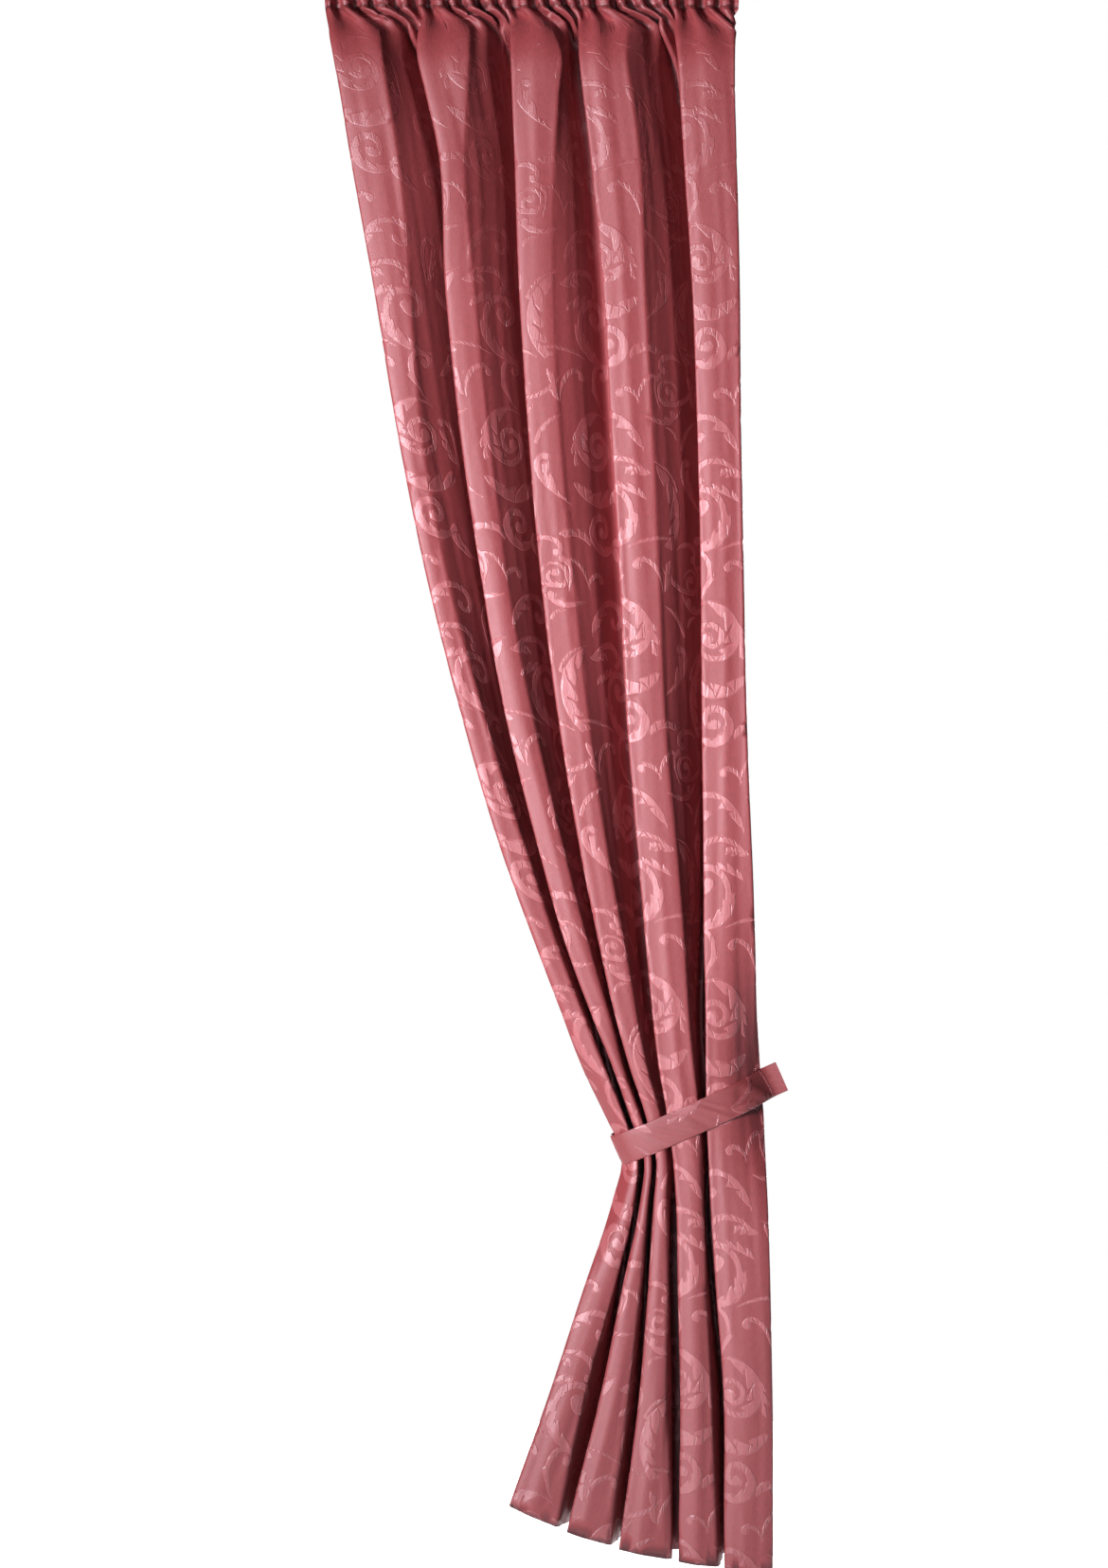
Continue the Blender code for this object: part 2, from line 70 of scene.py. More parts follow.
# How much of the width each fold holds: a strip that faces the room, and the cloth behind it.
FOLD_CLOTH = (315, 313, 240, 332)
LAST_CLOTH = CLOTH_WIDTH - sum(FOLD_CLOTH)

# One row for each height at which the folds were read. A strip runs from its left crest to its
# right bend, and then turns back to the valley behind the next strip. All are places along X but:
# drop, the distance below the top edge; half_depth, from the middle to the front or the back;
# overlap, how far a valley lies behind the next strip; crown, how far the middle of a strip stands
# proud of its edges; gather, the steepest turn of the small pleats in radians, where there are any.
Section = namedtuple(
    "Section",
    "drop strip_1 bend_1 strip_2 bend_2 strip_3 bend_3 strip_4 bend_4 strip_5 edge"
    " half_depth overlap crown gather",
    defaults=(0,),
)
SECTIONS = [Section(*row) for row in (
    (0, -323, -236, -176, -95, -34, 30, 72, 160, 222, 325, 2, -2, 0, 1.62),
    (25, -322, -236, -176, -95, -34, 30, 72, 155, 222, 324, 3, -2, 0, 1.62),
    (60, -317, -234, -177, -96, -34, 34, 72, 150, 223, 317, 29, 2, 2, 0.50),
    (102, -308, -231, -178, -96, -33, 48, 72, 146, 225, 315, 47, 10, 3, 0.16),
    (165, -296, -221, -165, -99, -31, 43, 78, 154, 228, 315, 52, 18, 3, 0.09),
    (245, -283, -208, -147, -103, -28, 36, 88, 165, 232, 317, 52, 26, 3, 0.04),
    (463, -244, -187, -135, -87, -21, 33, 109, 174, 246, 321, 52, 38, 3),
    (682, -208, -171, -113, -66, -7, 44, 122, 186, 254, 323, 52, 40, 3),
    (900, -165, -133, -81, -39, 12, 63, 135, 197, 259, 327, 52, 38, 3),
    (1119, -110, -75, -43, 0, 39, 85, 146, 206, 261, 332, 52, 34, 3),
    (1338, -46, -7, 11, 52, 75, 117, 164, 225, 264, 341, 52, 30, 3),
    (1483, 7, 42, 52, 90, 104, 144, 177, 237, 265, 347, 52, 28, 3),
    (1585, 46, 81, 90, 119, 127, 161, 186, 244, 268, 352, 52, 24, 2),
    (1673, 79, 116, 126, 143, 152, 178, 196, 253, 268, 358, 51, 20, 2),
    (1745, 113, 146, 152, 169, 176, 199, 208, 259, 269, 362, 50, 16, 2),
    (1813, 141, 166, 174, 185, 192, 209, 217, 263, 272, 365, 50, 16, 2),
    (1877, 126, 160, 167, 181, 188, 211, 222, 266, 275, 366, 51, 12, 4),
    (2008, 81, 129, 139, 171, 179, 212, 225, 272, 283, 369, 52, 15, 6),
    (2183, 23, 81, 103, 151, 164, 211, 229, 279, 295, 372, 52, 24, 8),
    (2357, -39, 45, 59, 129, 141, 217, 227, 287, 295, 373, 52, 30, 8),
    (2460, -72, 25, 37, 118, 127, 217, 226, 290, 296, 372, 52, 30, 8),
)]
FOLDS = len(FOLD_CLOTH)
FULL_DEPTH = max(row.half_depth for row in SECTIONS)
OVERLAP_SHARE = (1.0, 0.8, 0.1, 0.7)  # each fold's own share of the overlap

# The hem climbs to the left, where the cloth takes a longer way round through the tie-back: places
# across the cloth, and how far down it hangs at each.
HEM_PLACES = (0, 14, 98, 315, 388, 628, 704, 868, 928, 1200, 1278, CLOTH_WIDTH)
HEM_DROPS = (2341, 2344, 2376, 2384, 2404, 2411, 2425, 2430, 2437, 2444, 2449, CLOTH_LENGTH)

# The small pleats that the heading's cords draw up. The waves that make some of them wider and
# some deeper than others are each a swing and its length.
PLEATS = 24
PLEAT_FADE = 55  # the side hems are stiffer, so the small pleats grow over this much cloth
PLEAT_DRIFT = ((0.80, 410), (0.50, 147), (0.35, 83))  # in radians
PLEAT_UNEVEN = ((0.18, 230), (0.16, 97))  # in shares
BESSEL_TERMS = 5  # more than enough for pleats that turn by less than two radians
PINCH_DROP = 0.0245  # metres below the top edge, where the cord and its stitches draw the cloth in
# Along that line the colour is darkened by painted shade of the drawn-in cloth, with its stitches.
PINCH_SHADE = 0.5  # how dark that line is
PINCH_SHADE_SPREAD = (0.0004, 0.003)  # it is dark this far to both sides, and fades over the rest
PINCH_DENT = 0.003
PINCH_REACH = 0.007  # how far to both sides it is dented

# How the corners of a fold are rounded: the length of each leg that the curve takes away.
CREST_ROUND = 4
FACE_ROUND = 25
BEND_ROUND = 6
WALL_ROUND = 40
BACK_ROUND = 8
FOLD_ROUNDS = (CREST_ROUND, FACE_ROUND, BEND_ROUND, WALL_ROUND) + (BACK_ROUND,) * 6
WALL_BULGE = 13  # how far the cloth behind a bend swells, in the middle of its way to the valley
WALL_GAP = 60  # where the next strip is this far from the bend or more
SOFTNESS = 2.4  # how far along the cloth every bend is eased
HEADING_SOFTNESS = 36  # more of it where the small pleats are, so that they have room
LEG_SHARE = 0.46  # the most of a leg that one corner's curve takes
CREST_LOSS = 6  # what the curve at a crest takes off a fold's length
CORNER_POWER = 1.4  # what a curve takes off grows with this power of how far the line turns
CORNER_STEPS = 6
VALLEY_WIDTH = 24
VALLEY_SHOULDER = (8, 5)  # from each side of a valley to its bottom, across and back
TUCK_SPREAD = 20  # a valley opens by this much more as its tuck comes forward
TUCK_MOST = 0.80  # a tuck stops short of the front by the rest
SOLVER_STEPS = 30

# The cloth behind the last strip, which ends in the right side edge.
LAST_BEND_ROUND = 2
LAST_ROUNDS = (CREST_ROUND, FACE_ROUND, LAST_BEND_ROUND, BACK_ROUND)
LAST_SET_IN = 8
LAST_REACH = 0.92  # the share of the depth that it goes back
LAST_TAIL = (-0.60, -0.80)  # the way that its end turns in

# The tie-back band.
BAND_LEFT = (139, 0, -1798)  # the middle of the band at its left turn
BAND_RIGHT = (390, 0, -1687)  # the middle of its right end
BAND_WIDTH = 48
BAND_THICKNESS = 2.4
BAND_CLEARANCE = 0.9  # from the cloth that it holds
BAND_END_GAP = 1.2  # between its two ends, which lie together
BAND_END_RUN = 26
BAND_CORNER_STEP = 12  # degrees between the points on a rounded corner
BAND_STEP = 4
BAND_COLUMNS = 21
BAND_SOFTNESS = 2  # steps over which its bends are eased
BAND_EDGE_POWER = 10
BAND_PUFF = 0.35
BAND_GROOVE = 0.35
BAND_STITCHES = 0.84  # how far out its top-stitching is, as a share of half its width
BAND_STITCH_WIDTH = 0.03
BAND_REPEAT_START = (-6, -240)

# Soft creases in the band: where each is along it, how it leans, how far it stands out or in, and
# its width.
BAND_CREASES = (
    (60, 0.9, -3.0, 15),
    (92, -0.6, 1.4, 8),
    (122, 1.2, -0.8, 3.5),
    (140, 1.1, -1.3, 5),
    (168, 0.8, 1.0, 6),
    (196, 1.5, -0.8, 3),
    (214, 1.4, -1.2, 4),
    (240, 0.9, 1.0, 5),
)
CREASE_POWER = 4  # they fade to the band's edges with this power

# How the band draws the folds into a bundle with rounded ends.
BUNDLE_POWER = 2.6
BUNDLE_REACH_UP = 190  # how far above the band the cloth is drawn together, and below it
BUNDLE_REACH_DOWN = 120
BUNDLE_LEFT_CLEAR = 14  # from the bundle's left and right side to its back bends
BUNDLE_RIGHT_CLEAR = 62
BUNDLE_END_SET_IN = 40  # the last strip's cloth turns back this much further in
BUNDLE_PAIRING = 3  # a fold's two back bends are this much further apart than evenly spread ones
BUNDLE_SLACK = 0.16  # the share of the cloth that is in creases too small to model there

# The lattice that holds the hung cloth's shape: between its rows, and between its columns.
LATTICE_STEP = 10
CLOTH_STEP = 2
EASE_WINDOW = 3  # an easing reaches this many times its softness

# Long soft ripples down the cloth: how far each swings, how wide one is, how far it drifts in
# radians over which length, and where it starts.
RIPPLES = (
    (0.50, 47, 0.9, 1900, 0.4),
    (0.32, 29, 1.3, 1300, 2.1),
    (0.16, 17.5, 1.7, 900, 4.0),
)
RIPPLES_FROM = 160  # they fade out above this drop, where the small pleats are

# The crease along each strip's right bend stands this far proud, over this much cloth.
BEND_RIDGE = 1.2
BEND_RIDGE_WIDTH = 4.5

# The hem's turned-up cloth lies this far behind the curtain.
HEM_GAP = 1.2

# The grid of the woven sheet, in millimetres of cloth. Its rows are closer in the heading, and its
# columns where the cloth bends.
COLUMN_STEP = 13
COLUMN_TURN = 0.36  # radians between two columns
ROW_STEPS = ((0, 7), (128, 14), (240, 28), (1500, 20), (2000, 28), (2450, 12))
ROW_STRETCH = 6  # triangles are this much longer down the cloth than across it
CUT_CLOSE = 1e-4  # points of the cut that are this close are one
CUT_MARGIN = 1  # points inside a scroll keep this far from the cloth's edges

# The woven scrolls. Each row is one stroke that grows from x, y in the direction way for length,
# and bends by degrees every 10 mm, more and more to its end. Ways are degrees from the weft, and
# turn down the cloth. knob is the radius of the bud that ends it. A leaf has lobes along its right
# side, or along its left where their count is below zero, which reach this far from its stem.
REPEAT_ACROSS = 350
REPEAT_DOWN = 583
REPEAT_START = (150, 8.5)  # where the first repeat begins on the cloth
DROP_MIRROR = 269  # the other half of each repeat is flipped about half of this, half a repeat down
Scroll = namedtuple(
    "Scroll", "x y way length bend_start bend_end width knob lobes reach", defaults=(0, 0, 0)
)
SCROLLS = [Scroll(*row) for row in (
    # the small hook and its bud
    (64, 58, 262, 46, -20, -74, 8.5, 7),
    # the first arch and its buds
    (66, 134, 264, 162, -8, -60, 11, 7),
    (66, 128, 264, 58, -10, -22, 5, 0, -2, 15),
    # the second arch and its buds
    (72, 168, 232, 104, -9, -42, 11, 7),
    (76, 166, 206, 40, -6, -18, 5, 0, -3, 13),
    (66, 208, 216, 46, -5, -8, 5, 0, 3, 11),
    # the great scroll and its leaf
    (-24, 286, 4, 240, -9, -50, 12, 11),
    (-10, 286, 2, 96, -9, -14, 7, 0, -4, 20),
    (34, 282, -28, 78, 4, 8, 6),
    # the heart's curl
    (-6, 364, -44, 130, -7, -78, 10, 8),
    (2, 354, -56, 36, 2, 10, 6, 0, -1, 7),
    # the great ring and its leaf
    (-12, 372, -34, 316, 12, 46, 11, 11),
    (12, 361, 4, 118, 11, 15, 7, 0, 4, 20),
    (58, 392, 70, 56, 5, 8, 5, 0, -3, 9),
    # the leafy bough
    (74, 476, 118, 124, 10, 1, 12, 0, 4, 20),
    # the curl and its leaves
    (-16, 562, 62, 172, -17, -54, 13, 9),
    (-10, 572, 50, 96, -16, -18, 7, 0, -4, 17),
    (54, 574, 300, 50, 18, 30, 5, 0, -2, 12),
    # the ring between, its hook and its bough
    (131, 328, 285, 122, 28, 60, 8.5, 7),
    (118, 284, 318, 70, 14, 80, 10, 7),
    (198, 370, 160, 66, 3, 60, 10, 7),
    (126, 352, 75, 46, -20, -30, 7),
    (162, 386, 186, 32, -25, -40, 6),
    # the long leaf
    (184, 444, 146, 152, -6, -8, 8.5, 0, -5, 20),
    (190, 440, 170, 66, -9, -12, 5, 5),
    # the bud on its long stem
    (188, 220, 214, 104, 2, 50, 11, 7),
    (166, 200, 228, 48, 6, 20, 6, 0, 2, 11),
    # small sprigs between
    (86, 352, 268, 82, -6, -64, 8.5, 7),
    (88, 350, 288, 46, -4, -8, 5, 0, 2, 11),
    (-34, 320, 204, 72, 4, 62, 8.5, 7),
    (-36, 318, 222, 44, 6, 10, 5, 0, -2, 12),
    (-34, 178, 266, 92, 2, -54, 8.5, 7),
    (-38, 168, 244, 54, 3, 6, 5, 0, -3, 12),
    (100, 66, 248, 60, 4, 56, 7, 6),
    (208, 352, 262, 66, -5, -60, 7, 6),
    # two boughs
    (184, 20, 122, 82, 7, 9, 8.5, 6),
    (182, 80, 160, 66, -9, -6, 8.5),
)]
STROKE_STEP = 8
STROKE_LEAST_STEPS = 8
STROKE_TIGHTENING = 1.35  # steps shorten to a stroke's end, where it curls most
GROWTH_STEPS = 160
BEND_EVERY = 10
REPEATS_BESIDE = 3  # as far off as a repeat can still touch the cloth

# One lobe of a leaf and the points inside it, as shares along its stem and out from it.
LOBE = ((0.0, 0.30), (0.06, 0.52), (0.28, 0.82), (0.60, 1.05), (0.92, 1.06), (1.04, 0.84), (0.96, 0.44))
LOBE_INSIDE = ((0.15, 0.12), (0.42, 0.45), (0.60, 0.18), (0.74, 0.74))
LOBE_LEAN = 0.42  # how far a lobe leans towards its leaf's tip
KNOB_SIDES = 8
KNOB_SET_IN = 0.35  # of its radius, to the inside of the stroke's curl

# How a stroke, a leaf's stem and a leaf's lobes swell between their ends: the share of a half turn
# where each starts, the share that it takes up, and the power of the sine.
STROKE_SWELL = (0.03, 0.72, 0.75)
STEM_SWELL = (0.04, 0.93, 0.7)
LOBE_SWELL = (0.16, 0.68, 0.8)

# The finish. Three noises shade the cloth, as threads, grains and clouds: how fine each is, to a
# metre across and down, its detail, the values that it runs between, and its darkest and lightest
# shade. Ribs and threads also stand off the weave, by metres.
Noise = namedtuple("Noise", "stretch detail low high dark light")
THREADS = Noise((900, 90, 1), 2, 0.25, 0.75, 0.91, 1.08)
GRAINS = Noise((420, 130, 1), 1, 0.3, 0.7, 0.93, 1.07)
CLOUDS = Noise((6, 3, 1), 3, 0.3, 0.7, 0.97, 1.03)
RIB_RISE = 0.00008
RIB_WANDER = 1.5  # how unevenly they run
THREAD_RISE = 0.00015
THREAD_ROUGHNESS = 0.04
ROUGHNESS_RANGE = (0.2, 0.8)
SCROLL_EDGE = 1.5  # millimetres over which a scroll rises

# The scrolls' lighter colour is partly painted sheen of their satin, and that painted sheen hardly
# shows near the heading and fades again to the hem, where the lights catch it less: between which
# drops, in metres, how much of their colour shows at first and at last, and of their rise at first.
SCROLL_SHOWS = (0.20, 0.95)
SCROLL_SHEEN_FIRST = 0.16
SCROLL_FLAT = 0.5
SCROLL_SHEEN_FADES = (1.98, 2.42)
SCROLL_SHEEN_LAST = 0.35

SHEEN_TINT = (1.0, 0.55, 0.58, 1)
SHEEN_ROUGHNESS = 0.45
GLOSS_TINT = (1.0, 0.90, 0.98, 1)
GLOSS_LEVELS = (0.8, 1.0)  # of the ground and of a scroll
MIX_INPUTS = (0, 6, 7)  # where a mix node has its factor and its two colours
MIX_OUTPUT = 2

# The studio, in metres. A light's row is its name, its place, where it points, its width and
# height, and how far its beam spreads in degrees.
CAMERA_PLACE = (0.0357, -4.952, -1.2326)
CAMERA_SENSOR = 36  # millimetres, and so is its lens
CAMERA_LENS = 73.1
FLOOR_Z = -2.465
FLOOR_FRONT = -3.5
FLOOR_BACK = 1.2
FLOOR_COLOUR = (0.86, 0.86, 0.86, 1)
FLOOR_ROUGHNESS = 0.8
FLOOR_GLOW = 0.93
WHITE = (1, 1, 1, 1)
KEY_LIGHT = ("key", (-3.2, -4.9, -1.05), (0.45, 0, -0.95), (1.4, 1.4), 52)
FRONT_LIGHT = ("front", (-0.25, -4.6, -1.0), (0.1, 0, -1.15), (1.0, 1.2), 180)
SIDE_LIGHTS = (
    ("left", (-2.7, 3.0, -1.2), (-0.1, 0, -1.2), (0.8, 1.8), 90),
    ("right", (3.0, 2.6, -1.2), (0.3, 0, -1.2), (0.8, 1.8), 90),
)
BACK_LIGHT = ("back", (1.6, 4.4, -0.9), (0.1, 0, -1.2), (1.6, 1.6), 70)


def running(values):
    """The running total of these values, from zero."""
    return np.concatenate([[0], np.cumsum(values)])


def lengths_along(points):
    """How far along a line each of its points is."""
    return running(norm(np.diff(points, axis=0), axis=1))


def unit(vectors):
    """These vectors, each made one long."""
    return vectors / np.maximum(norm(vectors, axis=-1, keepdims=True), LEAST)


def read_along(places, along, points):
    """The points at these places along a line, where along says how far each of its own is."""
    return np.stack([np.interp(places, along, axis) for axis in points.T], axis=1)


def section_at(drop):
    """The row of SECTIONS at this drop, eased between the rows that were read."""
    rows = np.array(SECTIONS, float)
    drops = rows[:, 0]
    slopes = np.gradient(rows, drops, axis=0)
    drop = min(max(drop, drops[0]), drops[-1])
    upper = min(int(np.searchsorted(drops, drop, side="right")) - 1, len(rows) - 2)
    span = drops[upper + 1] - drops[upper]
    t = (drop - drops[upper]) / span
    eased_row = (
        (2 * t**3 - 3 * t**2 + 1) * rows[upper]
        + (t**3 - 2 * t**2 + t) * span * slopes[upper]
        + (3 * t**2 - 2 * t**3) * rows[upper + 1]
        + (t**3 - t**2) * span * slopes[upper + 1]
    )
    return Section(*eased_row)


def band_drop(x):
    """How far down the middle of the band is at this x."""
    rise = (BAND_RIGHT[2] - BAND_LEFT[2]) / (BAND_RIGHT[0] - BAND_LEFT[0])
    return -(BAND_LEFT[2] + rise * (x - BAND_LEFT[0]))


def bundled(x, drop):
    """1 where the band holds the cloth, easing to 0 well above it and below it."""
    above = band_drop(x) - drop
    reach = np.where(above > 0, BUNDLE_REACH_UP, BUNDLE_REACH_DOWN)
    return np.exp(-((above / reach) ** 2))


def half_depth(x, row):
    """From the middle of the folds to their front or back, less at the bundle's two rounded ends."""
    middle = (row.strip_1 + row.edge) / 2
    half_width = (row.edge - row.strip_1) / 2
    across = np.clip(np.abs(x - middle) / half_width, 0, 1)
    rounded_end = (1 - across**BUNDLE_POWER) ** (1 / BUNDLE_POWER)
    share = bundled(x, row.drop)
    return row.half_depth * (1 - share + share * rounded_end)


def front(x, row, proud=0):
    """x and y of the folds' front at these places along X, this much further forward."""
    return x, -half_depth(x, row) - proud


def bessel(order, turn):
    """The Bessel function of this order, by its series."""
    return sum(
        (-1) ** k * (turn / 2) ** (2 * k + order) / math.factorial(k) / math.factorial(k + order)
        for k in range(BESSEL_TERMS - order)
    )


def gathered_share(turn):
    """A sine-generated wave: the share of its own length that it spans, its forward swing and its
    side swing, each as a share of one pleat's cloth.
    """
    return bessel(0, turn), bessel(1, turn) / math.pi, bessel(2, turn) / math.tau


def crests_and_bends(row):
    """The x of each strip's left crest, and of the right bend of every strip but the last."""
    return np.array(row[1:10:2]), np.array(row[2:10:2])


def valley_places(row):
    """The x of each fold's two back bends, one row for a fold."""
    crests, _ = crests_and_bends(row)
    middles = crests[1:] + row.overlap * np.array(OVERLAP_SHARE)
    spread = VALLEY_WIDTH * row.half_depth / FULL_DEPTH / 2
    hung = np.stack([middles - spread, middles + spread], axis=1)
    even = np.linspace(
        row.strip_1 + BUNDLE_LEFT_CLEAR, row.edge - BUNDLE_RIGHT_CLEAR, 2 * FOLDS
    ).reshape(FOLDS, 2) + np.array([-BUNDLE_PAIRING, BUNDLE_PAIRING])
    share = bundled(hung, row.drop)
    return hung * (1 - share) + even * share


def fold_corners(row, reach, tuck):
    """Each fold's corners from its crest to the next one, as an array of folds, corners, x and y.

    reach is the share of the depth that the valley goes back, and tuck the share by which the
    middle of the valley comes forward again, between the cloth on either side of it.
    """
    crests, bends = crests_and_bends(row)
    valleys = valley_places(row)
    opened = TUCK_SPREAD * tuck * (1 - bundled(valleys.mean(axis=1), row.drop)) / 2
    left = valleys[:, 0] - opened
    right = valleys[:, 1] + opened
    left_y = (2 * reach - 1) * half_depth(left, row)
    right_y = (2 * reach - 1) * half_depth(right, row)
    across, back = np.array(VALLEY_SHOULDER)[:, None] * row.half_depth / FULL_DEPTH
    depth = 1 - tuck * TUCK_MOST
    left_side = bends + (left - bends) * depth
    right_side = crests[1:] + (right - crests[1:]) * depth
    tuck_y = (left_y + right_y) / 2 * depth - half_depth((left + right) / 2, row) * (1 - depth)
    tuck_half = np.minimum((right_side - left_side) / 2 - across, across / 2)
    bends_y = -half_depth(bends, row)
    wall_x, wall_y = left - bends, left_y - back - bends_y
    gaps = np.clip((crests[1:] - bends) / WALL_GAP, 0, 1)
    bulge = WALL_BULGE * gaps * row.half_depth / FULL_DEPTH * (1 - bundled(bends, row.drop))
    bulge = bulge / np.hypot(wall_x, wall_y)
    corners = (
        front(crests[:-1], row),
        front((crests[:-1] + bends) / 2, row, row.crown),
        (bends, bends_y),
        (bends + wall_x / 2 + wall_y * bulge, bends_y + wall_y / 2 - wall_x * bulge),
        (left, left_y - back),
        (left + across, left_y),
        ((left_side + right_side) / 2 - tuck_half, tuck_y),
        ((left_side + right_side) / 2 + tuck_half, tuck_y),
        (right - across, right_y),
        (right, right_y - back),
        front(crests[1:], row),
    )
    return np.array(corners).transpose(2, 0, 1)


def last_corners(row, share):
    """The last strip, its right bend, and the cloth that turns in behind it to the side edge."""
    face = (row.strip_5 + row.edge) / 2
    found = (front(row.strip_5, row), front(face, row, row.crown), front(row.edge, row))
    crest, middle, bend = np.array(found)
    back_x = row.edge - LAST_SET_IN - BUNDLE_END_SET_IN * bundled(row.edge, row.drop)
    back = np.array([back_x, (2 * LAST_REACH - 1) * half_depth(back_x, row)])
    left_over = share * LAST_CLOTH - norm(middle - crest) - norm(bend - middle)
    leg = norm(back - bend)
    if left_over < leg:
        end = bend + (back - bend) * max(left_over, 1) / leg
        back = (bend + end) / 2
    else:
        tail = (left_over - leg) * (1 - min(row.gather, 1))
        end = back + tail * np.array(LAST_TAIL)
    return np.array([crest, middle, bend, back, end])


def rounded_lengths(corners, rounds):
    """The length of each line once its corners are rounded, near enough."""
    legs = np.diff(corners, axis=-2)
    lengths = norm(legs, axis=-1)
    into, out_of = lengths[..., :-1], lengths[..., 1:]
    straight = (legs[..., :-1, :] * legs[..., 1:, :]).sum(axis=-1) / np.maximum(into * out_of, LEAST)
    taken = np.minimum(rounds, LEG_SHARE * np.minimum(into, out_of))
    lost = taken * np.clip((1 - straight) / 2, 0, 1) ** CORNER_POWER
    return lengths.sum(axis=-1) - lost.sum(axis=-1)


def eased(line, reach):
    """This evenly spaced line with its bends eased over this many steps, and its ends kept."""
    width = int(EASE_WINDOW * reach) + 1
    steps = np.arange(-width, width + 1)
    weights = np.exp(-0.5 * (steps / reach) ** 2)
    before = 2 * line[0] - line[width:0:-1]
    after = 2 * line[-1] - line[-2 : -width - 2 : -1]
    return np.convolve(np.concatenate([before, line, after]), weights / weights.sum(), "valid")


def solve_folds(row, share):
    """reach and tuck of each fold such that it holds its cloth, less what the small pleats take.

    A guess of up to 1 is all reach, and what it has beyond 1 is tuck.
    """
    wanted = share * (np.array(FOLD_CLOTH, float) - np.array([SIDE_TURN, 0, 0, 0]) + CREST_LOSS)
    _, bends = crests_and_bends(row)
    wanted *= 1 - BUNDLE_SLACK * bundled(bends, row.drop)
    rounds = np.array(FOLD_ROUNDS[1:])
    low = np.zeros(FOLDS)
    high = np.full(FOLDS, 2.0)
    for _ in range(SOLVER_STEPS):
        guess = (low + high) / 2
        corners = fold_corners(row, np.minimum(guess, 1), np.maximum(guess - 1, 0))
        short = rounded_lengths(corners, rounds) < wanted
        low = np.where(short, guess, low)
        high = np.where(short, high, guess)
    return np.minimum(guess, 1), np.maximum(guess - 1, 0)


def rounded(corners, rounds):
    """The line through these corners with each one rounded, and the point index of each corner."""
    points = [corners[0]]
    marks = [0]
    for before, corner, after, cut in zip(corners, corners[1:], corners[2:], rounds):
        legs = np.array([before - corner, after - corner])
        taken = min(cut, LEG_SHARE * norm(legs, axis=1).min())
        start, end = corner + unit(legs) * taken
        marks.append(len(points) + CORNER_STEPS // 2)
        for t in np.linspace(0, 1, CORNER_STEPS + 1):
            points.append((1 - t) ** 2 * start + 2 * t * (1 - t) * corner + t**2 * end)
    points.append(corners[-1])
    marks.append(len(points) - 1)
    return np.array(points), marks


def crest_places():
    """Where the side edges and the crests of the strips are across the cloth."""
    return np.cumsum([0, SIDE_TURN, FOLD_CLOTH[0] - SIDE_TURN, *FOLD_CLOTH[1:], LAST_CLOTH])


def waves(rows, cloth):
    """The sum of some waves along the cloth."""
    return sum(swing * np.sin(math.tau * cloth / length) for swing, length in rows)


def pleat_phase(cloth):
    """Where these places across the cloth are in the run of the small pleats."""
    return math.tau * PLEATS * cloth / CLOTH_WIDTH + math.pi + waves(PLEAT_DRIFT, cloth)


def section_line(drop, cloth):
    """x and y of these places across the cloth at this drop, and where the folds' corners are."""
    row = section_at(drop)
    share, forward, side = gathered_share(max(row.gather, 0))
    folds = fold_corners(row, *solve_folds(row, share))
    first_turn = folds[0, 0] + share * SIDE_TURN * np.array(SIDE_TURN_WAY)
    corners = np.concatenate([[first_turn], folds[:, :-1].reshape(-1, 2), last_corners(row, share)])
    points, marks = rounded(corners, FOLD_ROUNDS * FOLDS + LAST_ROUNDS)
    along = lengths_along(points)
    crest_marks = [marks[0], *marks[1 : 2 + FOLDS * len(FOLD_ROUNDS) : len(FOLD_ROUNDS)], marks[-1]]
    place = np.interp(along, along[crest_marks], crest_places())
    softness = (SOFTNESS + HEADING_SOFTNESS * min(row.gather, 1) ** 2) / CLOTH_STEP
    x, y = (eased(line, softness) for line in read_along(cloth, place, points).T)
    slope = unit(np.stack([np.gradient(x, cloth), np.gradient(y, cloth)], axis=1)).T
    from_edge = np.minimum(cloth, CLOTH_WIDTH - cloth) / PLEAT_FADE
    pleat_cloth = CLOTH_WIDTH / PLEATS * np.sin(math.pi / 2 * np.minimum(from_edge, 1))
    wave = pleat_phase(cloth)
    out = forward * pleat_cloth * np.cos(wave) * (1 + waves(PLEAT_UNEVEN, cloth))
    along_line = side * pleat_cloth * np.sin(2 * wave)
    x_out = x + slope[0] * along_line + slope[1] * out
    y_out = y + slope[1] * along_line - slope[0] * out
    return np.stack([x_out, y_out]), place[marks]


def hem_drop(cloth):
    """How far down the hem hangs at these places across the cloth."""
    return np.interp(cloth, HEM_PLACES, HEM_DROPS)


def facing(points):
    """The unit normals of a lattice of rows and columns of points, towards the room."""
    return unit(np.cross(np.gradient(points, axis=0), np.gradient(points, axis=1)))


def relief(across, down):
    """How far the cloth's small ripples and creases lift it towards the room, in millimetres."""
    height = 0
    for swing, length, drift, drift_length, start in RIPPLES:
        phase = start + drift * np.sin(math.tau * down / drift_length + start)
        height = height + swing * np.sin(math.tau * across / length + phase)
    return height * (1 - np.exp(-((down / RIPPLES_FROM) ** 2)))


def between(values, row, column):
    """A lattice of values read between its points, at these rows and columns with their fractions."""
    i = np.clip(row.astype(int), 0, len(values) - 2)
    j = np.clip(column.astype(int), 0, values.shape[1] - 2)
    s = np.clip(row - i, 0, 1)[:, None]
    t = np.clip(column - j, 0, 1)[:, None]
    upper = (1 - t) * values[i, j] + t * values[i, j + 1]
    lower = (1 - t) * values[i + 1, j] + t * values[i + 1, j + 1]
    return (1 - s) * upper + s * lower


